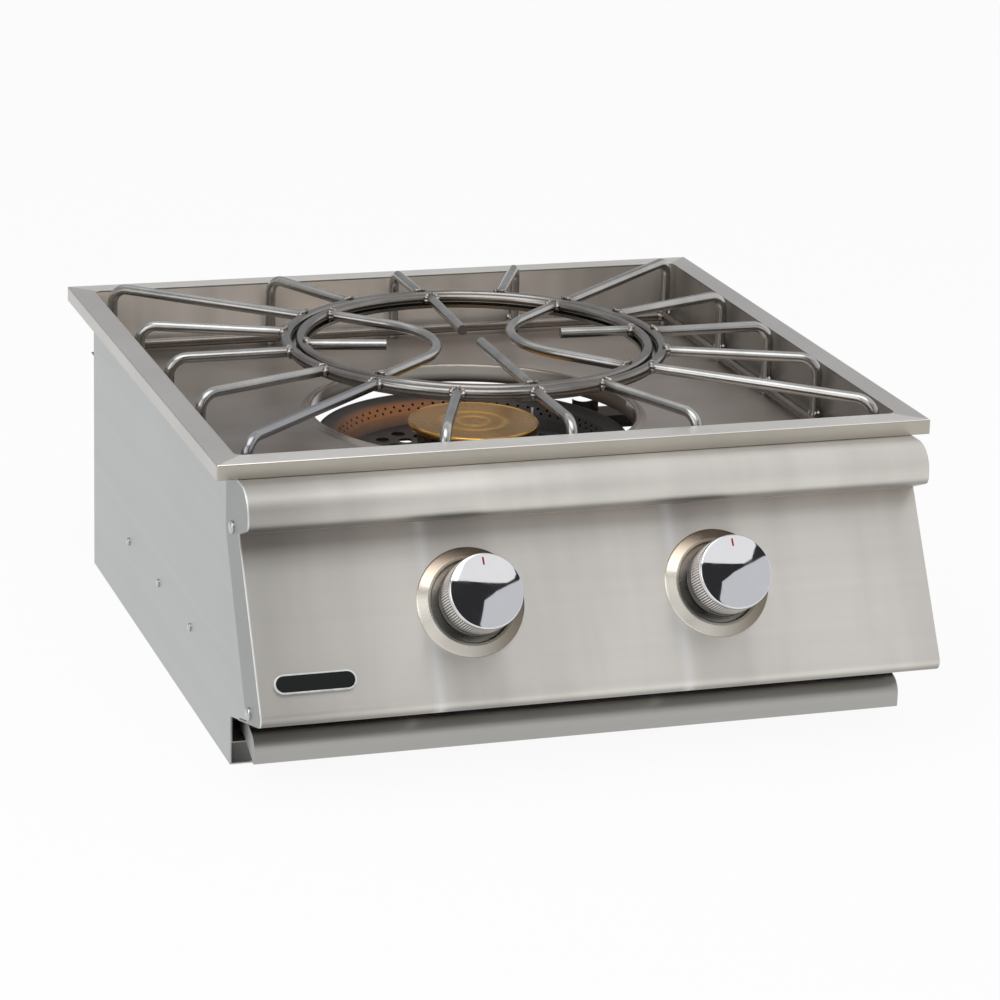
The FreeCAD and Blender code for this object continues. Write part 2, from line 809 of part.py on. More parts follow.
def make_gas_supply_pipe():
    start_x = right_knob_x + manifold_overhang
    end_y = body_back + inlet_past_back - inlet_thread_length - inlet_hex_length
    points = [V(start_x, valve_outlet_y, manifold_z), V(pipe_x, valve_outlet_y, manifold_z),
              V(pipe_x, end_y, manifold_z)]
    outer = rod(points, pipe_bend, pipe_radius)
    inner = rod(points, pipe_bend, pipe_radius - pipe_wall)
    flange = cylinder(manifold_radius, points[0], points[0] + V(manifold_wall, 0, 0))
    return outer.fuse(flange).cut(inner).removeSplitter()


def make_inlet_fitting():
    start_y = body_back + inlet_past_back - inlet_thread_length - inlet_hex_length
    start = V(pipe_x, start_y, manifold_z)
    nut = hexagon(inlet_hex_radius, start, inlet_hex_length, V(0, 1, 0))
    thread_start = start + V(0, inlet_hex_length, 0)
    thread_end = thread_start + V(0, inlet_thread_length, 0)
    thread = cylinder(inlet_thread_radius, thread_start, thread_end)
    return nut.fuse(thread).cut(cylinder(inlet_bore, start, thread_end))


def make_manifold_brackets():
    outer = manifold_radius + bracket_sheet
    arm_end = shield_y - bracket_sheet
    brackets = []
    for side in (-1, 1):
        x = side * bracket_spacing / 2
        x0 = x - bracket_width / 2
        x1 = x + bracket_width / 2
        band = pipe(outer, manifold_radius, V(x0, valve_outlet_y, manifold_z),
                    V(x1, valve_outlet_y, manifold_z))
        arm = box(x0, x1, valve_outlet_y + manifold_radius + bracket_sheet / 2, arm_end,
                  manifold_z - bracket_sheet / 2, manifold_z + bracket_sheet / 2)
        flange = box(x0, x1, arm_end, shield_y, manifold_z - bracket_sheet / 2,
                     manifold_z + bracket_flange)
        brackets.append(band.fuse([arm, flange]).removeSplitter())
    return Part.makeCompound(brackets)


def make_heat_shield():
    low = basin_floor - sheet - shield_height
    plate = box(-panel_inner, panel_inner, shield_y, shield_y + sheet, low, basin_floor - sheet)
    holes = []
    for x in (left_knob_x, right_knob_x):
        holes.append(cylinder(tube_radius + shield_clearance,
                              V(x, shield_y - sheet, valve_outlet_z),
                              V(x, shield_y + 2 * sheet, valve_outlet_z)))
    holes.append(cylinder(pipe_radius + shield_clearance, V(pipe_x, shield_y - sheet, manifold_z),
                          V(pipe_x, shield_y + 2 * sheet, manifold_z)))
    return plate.cut(holes)


def make_back_panel():
    top = basin_floor - sheet
    plate = box(-panel_inner, panel_inner, body_back - sheet, body_back, sheet, top)
    window = box(-window_half_width, window_half_width, body_back - 2 * sheet, body_back + sheet,
                 window_low, window_high)
    edges = [edge for edge in window.Edges if abs(edge.BoundBox.YLength) > sheet
             and edge.BoundBox.XLength < 1 and edge.BoundBox.ZLength < 1]
    window = window.makeFillet(window_corner, edges)
    shelf = box(-panel_inner, panel_inner, body_back - sheet, basin_back + sheet, top - sheet, top)
    return plate.fuse(shelf).cut(window).removeSplitter()


def make_tray_rail(side):
    ledge_top = tray_floor_height - slide_gap
    web_outer = panel_inner
    start_y = base_front + 2 * sheet
    end_y = tray_back_y + rail_past_tray
    web = box(web_outer - sheet, web_outer, start_y, end_y, ledge_top - sheet, rail_top_height)
    ledge = box(tray_half_width - rail_ledge, web_outer, start_y, end_y,
                ledge_top - sheet, ledge_top)
    holes = [cylinder(screw_shank_radius, V(web_outer - 2 * sheet, y, z), V(web_outer + sheet, y, z))
             for y, z in rail_screw_places()]
    rail = web.fuse(ledge).cut(holes).removeSplitter()
    return rail if side > 0 else rail.mirror(V(0, 0, 0), V(1, 0, 0))


def make_drip_tray():
    low = tray_floor_height
    high = low + tray_height
    outer = box(-tray_half_width, tray_half_width, tray_front_y, tray_back_y, low, high)
    inner = box(-tray_half_width + tray_sheet, tray_half_width - tray_sheet,
                tray_front_y + tray_sheet, tray_back_y - tray_sheet, low + tray_sheet, high)
    return outer.cut(inner)


def make_tray_front():
    skin_y = rim_front - front_reach
    top = tray_floor_height + tray_height + 1.2 * sheet
    low = top - front_top_slope - front_height
    points = [(tray_front_y, top - front_tab_height), (tray_front_y, top),
              (skin_y, top - front_top_slope), (skin_y, low), (skin_y + front_hem, low)]
    bends = [0.0, front_bend, front_nose_bend, front_bend, 0.0]
    skin = bent_sheet(points, bends, sheet, -front_half_width, front_half_width)
    # each end is closed by a plate whose lower edge slants up to its back corner
    back_y = skin_y + front_end_depth
    outline = [(back_y, top)] + points[1:4] + [(back_y, top - front_end_height)]
    rounds = [0.0, 0.0, front_nose_bend, front_bend, 0.0]
    ends = [plate_along_x(outline, rounds, x, x + sheet)
            for x in (-front_half_width, front_half_width - sheet)]
    return skin.fuse(ends).removeSplitter()


def make_burner_bar(side):
    y = burner_y + side * bar_offset
    top = burner_z - plate_thickness
    outer = box(-panel_inner, panel_inner, y - bar_width / 2, y + bar_width / 2,
                top - bar_height, top)
    inner = box(-panel_inner, panel_inner, y - bar_width / 2 + bar_sheet,
                y + bar_width / 2 - bar_sheet, top - bar_height, top - bar_sheet)
    return outer.cut(inner)


def make_burner_bar_clips():
    # small upright tabs on the rear bar, each with a foot and a hollowed top edge
    y = burner_y + bar_offset
    low = burner_z - plate_thickness
    clips = []
    for side in (-1, 1):
        x = side * clip_spacing / 2
        x0 = x - clip_width / 2
        x1 = x + clip_width / 2
        foot = box(x0, x1, y - clip_foot, y, low, low + bar_sheet)
        tab = box(x0, x1, y - bar_sheet, y, low, low + clip_height)
        dip_radius = (clip_width ** 2 / 4 + clip_dip ** 2) / (2 * clip_dip)
        centre_z = low + clip_height - clip_dip + dip_radius
        dip = cylinder(dip_radius, V(x, y - clip_foot, centre_z), V(x, y + clip_foot, centre_z))
        clips.append(foot.fuse(tab).cut(dip).removeSplitter())
    return Part.makeCompound(clips)


def make_burner_base_plate():
    disc = Part.makeCylinder(ring_outer_radius, plate_thickness,
                             V(0, burner_y, burner_z - plate_thickness))
    holes = []
    for row, inset in enumerate(plate_hole_insets):
        radius = ring_foot_radius - inset
        for i in range(plate_hole_count):
            angle = 2 * math.pi * (i + row / 2.0) / plate_hole_count
            spot = V(radius * math.cos(angle), burner_y + radius * math.sin(angle),
                     burner_z - 2 * plate_thickness)
            holes.append(Part.makeCylinder(plate_hole_radius, 3 * plate_thickness, spot))
    for x, y in tube_outlets():
        holes.append(Part.makeCylinder(tube_radius - tube_wall, 3 * plate_thickness,
                                       V(x, y, burner_z - 2 * plate_thickness)))
    return disc.cut(holes)


def tube_outlets():
    middle = (ring_outer_radius + ring_foot_radius) / 2.0
    across = math.sqrt(middle ** 2 - right_knob_x ** 2)
    return [(0.0, burner_y), (right_knob_x, burner_y - across)]


def make_ring_burner():
    top = ring_height
    shelf = top - ring_shelf_drop
    throat = top - ring_throat_drop
    profile = [(ring_foot_radius, 0), (ring_outer_radius, 0), (ring_outer_radius, top),
               (ring_outer_radius - ring_land, top), (ring_shelf_radius, shelf),
               (ring_throat_radius, throat)]
    w = ring_wall
    chamber = [(ring_foot_radius + 1.2 * w, w), (ring_outer_radius - w, w),
               (ring_outer_radius - w, top - 1.3 * w), (ring_shelf_radius + 0.7 * w, shelf - w),
               (ring_throat_radius + w, throat - 0.2 * w)]
    centre = V(0, burner_y, burner_z)
    body = ring_of_revolution(profile, centre).cut(ring_of_revolution(chamber, centre))
    run_r = ring_throat_radius - ring_shelf_radius
    run_z = throat - shelf
    length = math.hypot(run_r, run_z)
    inward = V(run_z / length, 0, -run_r / length)
    ports = []
    for row, share in enumerate(port_row_share):
        start = V(ring_shelf_radius + share * run_r, 0, shelf + share * run_z)
        port = cylinder(port_radius, start + inward * port_radius, start - inward * (1.5 * w))
        for i in range(port_count):
            copy = port.copy()
            copy.rotate(V(0, 0, 0), V(0, 0, 1), 360.0 * (i + row / 2.0) / port_count)
            copy.translate(centre)
            ports.append(copy)
    outlet = tube_outlets()[1]
    ports.append(Part.makeCylinder(tube_radius - 3 * tube_wall, 2 * w,
                                   V(outlet[0], outlet[1], burner_z - w)))
    return body.cut(ports)


def make_inner_burner_head():
    profile = [(tube_radius - tube_wall, 0), (head_radius - head_chamfer, 0),
               (head_radius, head_chamfer),
               (head_radius, head_height), (head_radius - head_wall, head_height),
               (head_radius - head_wall, head_wall), (tube_radius - tube_wall, head_wall)]
    centre = V(0, burner_y, burner_z)
    head = ring_of_revolution(profile, centre)
    slots = []
    for i in range(head_slots):
        slot = box(head_radius - 2 * head_wall, head_radius + 1, -head_slot_width / 2,
                   head_slot_width / 2, head_height - head_slot_depth, head_height + 1)
        slot.rotate(V(0, 0, 0), V(0, 0, 1), 360.0 * i / head_slots)
        slot.translate(centre)
        slots.append(slot)
    return head.cut(slots)


def make_burner_cap():
    low = head_height + seat_gap
    top = low + cap_disc_thickness
    inner = head_radius - head_wall - slide_gap
    profile = [(0, low - cap_spigot_depth), (inner, low - cap_spigot_depth), (inner, low),
               (cap_disc_radius - cap_low_chamfer, low), (cap_disc_radius, low + cap_low_chamfer),
               (cap_disc_radius, top - cap_top_chamfer), (cap_disc_radius - cap_top_chamfer, top)]
    half = cap_groove_width / 2.0
    for radius in sorted(cap_groove_radii, reverse=True):
        profile += [(radius + half, top), (radius + half / 2, top - cap_groove_depth),
                    (radius - half / 2, top - cap_groove_depth), (radius - half, top)]
    profile.append((0, top))
    return ring_of_revolution(profile, V(0, burner_y, burner_z))


def make_mixing_tube(side):
    x = left_knob_x if side < 0 else right_knob_x
    end = tube_outlets()[0 if side < 0 else 1]
    under = burner_z - plate_thickness
    points = [V(x, tube_start, valve_outlet_z), V(x, end[1], valve_outlet_z)]
    if side < 0:
        points.append(V(end[0], end[1], valve_outlet_z))
    rise_bend = (under - valve_outlet_z) - seat_gap
    points.append(V(end[0], end[1], under))
    outer = tube_path(points, rise_bend, tube_radius)
    inner = tube_path(points, rise_bend, tube_radius - tube_wall)
    tube = outer.cut(inner)
    window_start = tube_start + (shutter_length - tube_window_length) / 2
    return tube.cut(tube_windows(x, window_start))


def tube_path(points, rise_bend, radius):
    # the level turn uses the wide bend, the last turn up into the burner the tighter one
    if len(points) == 3:
        return rod(points, rise_bend, radius)
    level_end = points[2]
    middle = (points[1] + points[2]) * 0.5
    first = rod([points[0], points[1], middle], tube_bend, radius)
    second = rod([middle, level_end, points[3]], rise_bend, radius)
    return first.fuse(second).removeSplitter()


def tube_windows(x, start_y):
    # one cut across both walls of a tube, for the air
    reach = tube_radius + 2 * shutter_wall
    half = tube_window_width / 2.0
    return box(x - reach, x + reach, start_y, start_y + tube_window_length,
               valve_outlet_z - half, valve_outlet_z + half)


def make_air_shutter(side):
    x = left_knob_x if side < 0 else right_knob_x
    start = V(x, tube_start, valve_outlet_z)
    end = V(x, tube_start + shutter_length, valve_outlet_z)
    inner = tube_radius + slide_gap
    sleeve = pipe(inner + shutter_wall, inner, start, end)
    window_start = tube_start + (shutter_length - tube_window_length) / 2
    return sleeve.cut(tube_windows(x, window_start))


def make_electrode_bracket():
    x = electrode_x
    y = burner_y + electrode_y
    half = electrode_radius + electrode_strap_margin
    strap_top = burner_z + electrode_strap_thickness
    strap = box(x - half, x + half, y - half, y + half, burner_z, strap_top)
    collar = cylinder(electrode_radius + electrode_collar_wall, V(x, y, burner_z),
                      V(x, y, strap_top + electrode_collar_height))
    bore = cylinder(electrode_radius, V(x, y, burner_z), V(x, y, strap_top + electrode_collar_height))
    return strap.fuse(collar).cut(bore).removeSplitter()


def make_igniter_electrode():
    x = electrode_x
    y = burner_y + electrode_y
    insulator = cylinder(electrode_radius, V(x, y, burner_z), V(x, y, burner_z + electrode_height))
    pin = cylinder(electrode_pin_radius, V(x, y, burner_z + electrode_height),
                   V(x, y, burner_z + electrode_height + electrode_pin_height))
    return insulator.fuse(pin).removeSplitter()


def flat_topped_ring(radius):
    torus = Part.makeTorus(radius, rod_radius, V(rings_x_offset, grate_y, grate_z))
    top = grate_z + rod_radius - ring_flat
    reach = radius + 2 * rod_radius
    lid = box(rings_x_offset - reach, rings_x_offset + reach, grate_y - reach, grate_y + reach,
              top, top + 2 * rod_radius)
    return torus.cut(lid)


def leg_places():
    places = [(sx * corner_leg_x, sy * corner_leg_y) for sx in (-1, 1) for sy in (-1, 1)]
    for i in (-1, 0, 1):
        places.append((side_leg_x, i * side_leg_pitch))
        places.append((-side_leg_x, i * side_leg_pitch))
        places.append((i * front_leg_pitch, -end_leg_y))
        places.append((i * back_leg_pitch, end_leg_y - back_leg_inset))
    return [V(x + frame_x_offset, grate_y + y, leg_foot_z) for x, y in places]


def weld_seat(radius):
    # space kept free round a ring, so that the rods welded to it end on its skin
    return Part.makeTorus(radius, rod_radius + weld_gap, V(rings_x_offset, grate_y, grate_z))


def make_outer_grate_spokes():
    ring = weld_seat(outer_ring_radius)
    frame = make_outer_grate_frame(rod_radius + weld_gap)
    spokes = []
    centre = V(rings_x_offset, grate_y, grate_z)
    for foot in leg_places():
        corner = V(foot.x, foot.y, grate_z)
        start = centre + (corner - centre).normalize() * outer_ring_radius
        spoke = rod([start, corner, foot], spoke_bend, rod_radius).cut([ring, frame])
        solids = sorted(spoke.Solids, key=lambda solid: solid.Volume)
        spokes.append(solids[-1])
    return Part.makeCompound(spokes)


def make_outer_grate_frame(radius):
    left = frame_x_offset - frame_half_x
    right = frame_x_offset + frame_half_x
    front = grate_y - frame_half_y
    back = grate_y + frame_half_y
    front_middle = V(frame_x_offset, front, frame_z)
    back_middle = V(frame_x_offset, back, frame_z)
    halves = []
    for x in (left, right):
        points = [front_middle, V(x, front, frame_z), V(x, back, frame_z), back_middle]
        halves.append(rod(points, frame_bend, radius))
    return halves[0].fuse(halves[1]).removeSplitter()


def make_grate_ledge_ring():
    top = grate_z - rod_radius
    return ring_of_revolution([(ledge_inner_radius, top - ledge_thickness),
                               (ledge_outer_radius, top - ledge_thickness),
                               (ledge_outer_radius, top), (ledge_inner_radius, top)],
                              V(rings_x_offset, grate_y, 0))


def make_grate_loop(corners):
    # two straight legs leave the ring and meet in a wide round nose near the middle
    points = [V(x, grate_y + y, grate_z) for x, y in corners]
    loop = rod(points, loop_bend, rod_radius).cut(weld_seat(inner_ring_radius))
    solids = sorted(loop.Solids, key=lambda solid: solid.Volume)
    return lifted(solids[-1])


def lifted(shape):
    # the inner grate rests on the ledge with its own small clearance
    moved = shape.copy()
    moved.translate(V(0, 0, slide_gap))
    return moved


def make_inner_grate_ring():
    return lifted(flat_topped_ring(inner_ring_radius))


def make_inner_grate_prongs():
    ring = weld_seat(inner_ring_radius)
    prongs = []
    for (x0, y0), (x1, y1) in prong_ends:
        prong = cylinder(rod_radius, V(x0, grate_y + y0, grate_z), V(x1, grate_y + y1, grate_z))
        solids = sorted(prong.cut(ring).Solids, key=lambda solid: solid.Volume)
        prongs.append(lifted(solids[-1]))
    return Part.makeCompound(prongs)


def make_parts():
    left = left_knob_x
    right = right_knob_x
    return {
        "top_rim": make_top_rim(),
        "basin": make_basin(),
        "left_side_panel": side_panel(-1),
        "right_side_panel": side_panel(1),
        "back_panel": make_back_panel(),
        "control_panel": make_control_panel(),
        "badge_border": make_badge_border(),
        "badge_inlay": make_badge_inlay(),
        "left_bezel": make_bezel(left),
        "right_bezel": make_bezel(right),
        "bezel_screws": make_bezel_screws(),
        "flange_screws": make_flange_screws(),
        "rail_screws": make_rail_screws(),
        "left_tray_rail": make_tray_rail(-1),
        "right_tray_rail": make_tray_rail(1),
        "drip_tray": make_drip_tray(),
        "tray_front": make_tray_front(),
        "front_burner_bar": make_burner_bar(-1),
        "rear_burner_bar": make_burner_bar(1),
        "burner_bar_clips": make_burner_bar_clips(),
        "burner_base_plate": make_burner_base_plate(),
        "ring_burner": make_ring_burner(),
        "inner_burner_head": make_inner_burner_head(),
        "burner_cap": make_burner_cap(),
        "left_mixing_tube": make_mixing_tube(-1),
        "right_mixing_tube": make_mixing_tube(1),
        "left_air_shutter": make_air_shutter(-1),
        "right_air_shutter": make_air_shutter(1),
        "heat_shield": make_heat_shield(),
        "gas_manifold": make_gas_manifold(),
        "manifold_brackets": make_manifold_brackets(),
        "gas_supply_pipe": make_gas_supply_pipe(),
        "inlet_fitting": make_inlet_fitting(),
        "left_valve_body": make_valve_body(left),
        "right_valve_body": make_valve_body(right),
        "left_orifice": make_orifice(left),
        "right_orifice": make_orifice(right),
        "left_valve_stem": make_valve_stem(left),
        "right_valve_stem": make_valve_stem(right),
        "left_thrust_washer": make_thrust_washer(left),
        "right_thrust_washer": make_thrust_washer(right),
        "left_return_spring": make_return_spring(left),
        "right_return_spring": make_return_spring(right),
        "left_knob": make_knob(left),
        "right_knob": make_knob(right),
        "left_knob_cap": make_knob_cap(left),
        "right_knob_cap": make_knob_cap(right),
        "left_knob_mark": make_knob_mark(left),
        "right_knob_mark": make_knob_mark(right),
        "outer_grate_ring": flat_topped_ring(outer_ring_radius),
        "grate_ledge_ring": make_grate_ledge_ring(),
        "outer_grate_spokes": make_outer_grate_spokes(),
        "outer_grate_frame": make_outer_grate_frame(rod_radius),
        "inner_grate_ring": make_inner_grate_ring(),
        "left_grate_loop": make_grate_loop(left_loop_corners),
        "right_grate_loop": make_grate_loop(right_loop_corners),
        "inner_grate_prongs": make_inner_grate_prongs(),
        "electrode_bracket": make_electrode_bracket(),
        "igniter_electrode": make_igniter_electrode(),
    }


os.makedirs("parts", exist_ok=True)
for name, shape in make_parts().items():
    shape.exportStep("parts/" + name + ".step")
    print(name, len(shape.Solids), shape.isValid(), round(shape.Volume / 1000.0, 2))
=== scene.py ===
import math

import bmesh
import bpy
from bpy.props import FloatProperty, FloatVectorProperty, IntProperty, PointerProperty
from mathutils import Matrix, Vector


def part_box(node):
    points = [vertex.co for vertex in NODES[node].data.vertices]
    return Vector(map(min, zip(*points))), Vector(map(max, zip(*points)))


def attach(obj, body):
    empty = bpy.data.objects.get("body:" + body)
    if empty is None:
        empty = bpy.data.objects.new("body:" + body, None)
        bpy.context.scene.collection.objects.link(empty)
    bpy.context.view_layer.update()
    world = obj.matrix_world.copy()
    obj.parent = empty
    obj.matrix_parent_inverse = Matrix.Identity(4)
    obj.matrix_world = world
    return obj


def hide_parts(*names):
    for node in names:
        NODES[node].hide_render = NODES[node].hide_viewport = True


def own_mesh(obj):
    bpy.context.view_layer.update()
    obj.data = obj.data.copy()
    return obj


bl_info = {
    "name": "Side Burner Dressing",
    "version": (1, 0, 0),
    "blender": (4, 5, 0),
    "location": "3D View > Sidebar > Side Burner",
    "description": "Finishes, welds, screws and springs for a built in gas side burner",
    "category": "Object",
}

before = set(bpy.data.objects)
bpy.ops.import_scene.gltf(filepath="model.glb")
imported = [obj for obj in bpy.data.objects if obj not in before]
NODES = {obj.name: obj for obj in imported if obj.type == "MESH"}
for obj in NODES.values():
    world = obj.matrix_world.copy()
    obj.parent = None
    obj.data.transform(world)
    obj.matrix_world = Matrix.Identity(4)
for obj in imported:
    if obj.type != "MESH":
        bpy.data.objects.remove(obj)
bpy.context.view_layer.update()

# Places of the model, read from its nodes. Metres, +Z up, the control panel faces -Y.
RIM_LOW, RIM_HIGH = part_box("top_rim")
RING_LOW, RING_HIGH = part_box("outer_grate_ring")
INNER_LOW, INNER_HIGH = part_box("inner_grate_ring")
FRAME_LOW, FRAME_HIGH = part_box("outer_grate_frame")
CAP_LOW, CAP_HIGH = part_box("burner_cap")
SIDE_LOW, SIDE_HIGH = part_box("right_side_panel")
SPOKE_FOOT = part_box("outer_grate_spokes")[0].z
PANEL_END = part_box("control_panel")[0].x
RIM_MID_Y = (RIM_LOW.y + RIM_HIGH.y) / 2
RIM_HALF_Y = (RIM_HIGH.y - RIM_LOW.y) / 2

# Basin and burners
BASIN_DEPTH = 0.0565
FLOOR_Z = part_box("basin")[1].z - BASIN_DEPTH
HOLE_R = 0.146
PORT_R = 0.1205
CAP_Y = (CAP_LOW.y + CAP_HIGH.y) / 2
CAP_R = 0.0590
CAP_FACE_R = 0.0573
CAP_NECK_R = 0.0457
CAP_FLANGE = 0.006
CAP_DISH = 0.0006
CAP_RINGS = (0.015, 0.029)

# Grates: their rods are round and of one size.
ROD = 0.00475
RING_X = (RING_LOW.x + RING_HIGH.x) / 2
GRATE_Y = (RING_LOW.y + RING_HIGH.y) / 2
GRATE_Z = RING_LOW.z + ROD
RING_TOP = RING_HIGH.z - GRATE_Z
RING_R = (RING_HIGH.x - RING_LOW.x) / 2 - ROD
INNER_R = (INNER_HIGH.x - INNER_LOW.x) / 2 - ROD
INNER_LIFT = INNER_HIGH.z - RING_HIGH.z
FRAME_X = (FRAME_LOW.x + FRAME_HIGH.x) / 2
FRAME_Z = FRAME_LOW.z + ROD
LEG_BEND = 0.016
FRAME_BEND = 0.009
LOOP_BEND = 0.084
WELD_DEPTH = 0.002
LEG_CORNER_X = 0.276
LEG_CORNER_Y = 0.252
LEG_SIDE_X = 0.281
LEG_FRONT_Y = 0.261
LEG_BACK_Y = 0.2583
LEG_SIDE_STEP = 0.115
LEG_FRONT_STEP = 0.111
LEG_BACK_STEP = 0.122

# Knobs: heights are along the leaning axis, from the sloping panel.
PANEL_TILT = math.radians(30)
PANEL_OUT = Vector((0, -math.cos(PANEL_TILT), math.sin(PANEL_TILT)))
PANEL_UP = Vector((0, math.sin(PANEL_TILT), math.cos(PANEL_TILT)))
WASHER_TO_FACE = 0.00525
NOSE_RISE = 0.0695
KNOB_LOW = 0.010
KNOB_GRIP = 0.0225
KNOB_CAP = 0.0445
KNOB_FACE = 0.0485
KNOB_R = 0.031
KNOB_EDGE = 0.0014
CROWN_R = 0.190
SPRING_R = 0.0072
SPRING_LENGTH = 0.010

# The camera that took the photograph. Turn, pitch and roll are in radians.
CAMERA_PLACE = Vector((-0.97252, RIM_MID_Y - 2.94415, RIM_HIGH.z + 0.84486))
CAMERA_TURN = 0.3272
CAMERA_PITCH = 0.3076
CAMERA_ROLL = -0.0330


def dial_foot(side):
    """Where a knob's axis meets the sloping panel face."""
    low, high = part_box(side + "_thrust_washer")
    return (low + high) / 2 + PANEL_OUT * WASHER_TO_FACE


NOSE_Z = (dial_foot("left") + PANEL_UP * NOSE_RISE).z


# Settings

def tint_setting(name, description, default):
    return FloatVectorProperty(name=name, description=description, default=default,
                               subtype="COLOR", size=3, min=0, max=1)


def glow_setting(name, description, default):
    return FloatProperty(name=name, description=description, default=default, min=0, max=3)


class SheetSettings(bpy.types.PropertyGroup):
    rim_tint: tint_setting("Rim", "Brushed steel of the rim", (0.95, 0.925, 0.87))
    panel_tint: tint_setting("Panel", "Brushed steel of the control panel", (0.76, 0.73, 0.68))
    side_tint: tint_setting("Sides", "Cooler steel of the side panels", (0.435, 0.445, 0.445))
    basin_tint: tint_setting("Basin floor", "Steel of the basin's floor", (0.44, 0.395, 0.36))
    wall_tint: tint_setting("Basin walls", "Steel of the basin's walls", (0.88, 0.82, 0.75))
    tray_tint: tint_setting("Tray", "Steel of the tray's front", (0.40, 0.395, 0.375))
    inner_tint: tint_setting("Inner sheets", "Steel of the sheets inside", (0.33, 0.32, 0.30))
    grain_pitch: FloatProperty(name="Grain pitch", description="Spacing of the brush lines",
                               default=0.0005, min=0.0002, max=0.01, unit="LENGTH")
    edge_round: FloatProperty(name="Edge rounding", description="Radius of the eased sheet edges",
                              default=0.0007, min=0.0, max=0.003, unit="LENGTH")


class GrateSettings(bpy.types.PropertyGroup):
    rod_tint: tint_setting("Rods", "Polished rod steel", (0.40, 0.395, 0.38))
    base_tint: tint_setting("Base frame", "Dull steel of the frame under the legs",
                            (0.25, 0.225, 0.20))
    weld_tint: tint_setting("Welds", "Weld metal of the beads", (0.30, 0.28, 0.26))
    heat_tint: tint_setting("Heat tint", "Straw and brown colour round the welds",
                            (0.17, 0.14, 0.12))
    blue_tint: tint_setting("Blue tint", "Blue heat colour along the front left rod",
                            (0.13, 0.14, 0.20))
    rod_sides: IntProperty(name="Rod sides", description="Faces round one rod",
                           default=28, min=8, max=64)
    bead_radius: FloatProperty(name="Bead radius", description="Half width of a weld bead",
                               default=0.0026, min=0.0005, max=0.004, unit="LENGTH")
    bead_ripples: IntProperty(name="Ripples", description="Ripples along one weld bead",
                              default=5, min=2, max=9)


class BurnerSettings(bpy.types.PropertyGroup):
    brass_tint: tint_setting("Brass", "Brass of the burner cap", (0.50, 0.275, 0.075))
    iron_tint: tint_setting("Iron", "Cast iron of the burners", (0.045, 0.042, 0.04))
    copper_tint: tint_setting("Warm ports", "Copper tint of the heated ports",
                              (0.36, 0.145, 0.05))


class DialSettings(bpy.types.PropertyGroup):
    chrome_tint: tint_setting("Chrome", "Mirror chrome of the knob faces", (0.72, 0.72, 0.74))
    bezel_tint: tint_setting("Bezel", "Satin steel of the bezels", (0.70, 0.67, 0.605))
    ribs: IntProperty(name="Ribs", description="Fine ribs round one knob",
                      default=90, min=24, max=240)
    mark_tint: tint_setting("Mark", "Red enamel of the position mark", (0.30, 0.0, 0.012))


class FittingSettings(bpy.types.PropertyGroup):
    screw_tint: tint_setting("Screws", "Plated screws", (0.50, 0.50, 0.50))
    coil_turns: FloatProperty(name="Spring turns", description="Turns of a knob's spring",
                              default=3.5, min=2, max=8)
    coil_wire: FloatProperty(name="Spring wire", description="Diameter of the spring wire",
                             default=0.0013, min=0.0005, max=0.003, unit="LENGTH")


class StageSettings(bpy.types.PropertyGroup):
    lens: FloatProperty(name="Lens", description="Focal length of the camera in millimetres",
                        default=129.54, min=20, max=300)
    sky_strength: glow_setting("Sky", "Strength of the even studio light", 0.55)
    key_power: FloatProperty(name="Key light", description="Power of the large lamp above",
                             default=26.0, min=0, max=500, unit="POWER")
    fill_power: FloatProperty(name="Fill light", description="Power of the lamp at the left",
                              default=14.0, min=0, max=500, unit="POWER")
    dark_card: glow_setting("Dark card", "Glow of the dark studio card", 0.035)
    pale_card: glow_setting("Pale card", "Glow of the pale studio card", 0.72)
    back_card: glow_setting("Back card", "Glow of the grey card behind", 0.45)
    left_card: glow_setting("Left card", "Glow of the grey card at the left", 0.42)
    top_card: glow_setting("Top card", "Glow of the grey card overhead", 0.80)


SETTINGS = {
    "side_burner_sheet": SheetSettings,
    "side_burner_grate": GrateSettings,
    "side_burner_burner": BurnerSettings,
    "side_burner_dial": DialSettings,
    "side_burner_fitting": FittingSettings,
    "side_burner_stage": StageSettings,
}


def settings(key):
    return getattr(bpy.context.scene, key)


# Materials

class Wiring:
    """A node tree that is wired a node at a time."""

    def __init__(self, tree):
        self.tree = tree

    def node(self, kind, sockets=None, **values):
        """A new node. Each of its sockets takes a plain value or another node's output."""
        made = self.tree.nodes.new(kind)
        for key, value in values.items():
            setattr(made, key, value)
        for key, value in (sockets or {}).items():
            self.feed(made.inputs[key], value)
        return made

    def feed(self, socket, value):
        if isinstance(value, bpy.types.NodeSocket):
            self.tree.links.new(value, socket)
        elif socket.type == "RGBA":
            socket.default_value = (*value, 1.0)
        else:
            socket.default_value = value

    def maths(self, operation, *values):
        made = self.node("ShaderNodeMath", dict(enumerate(values)), operation=operation)
        return made.outputs["Value"]


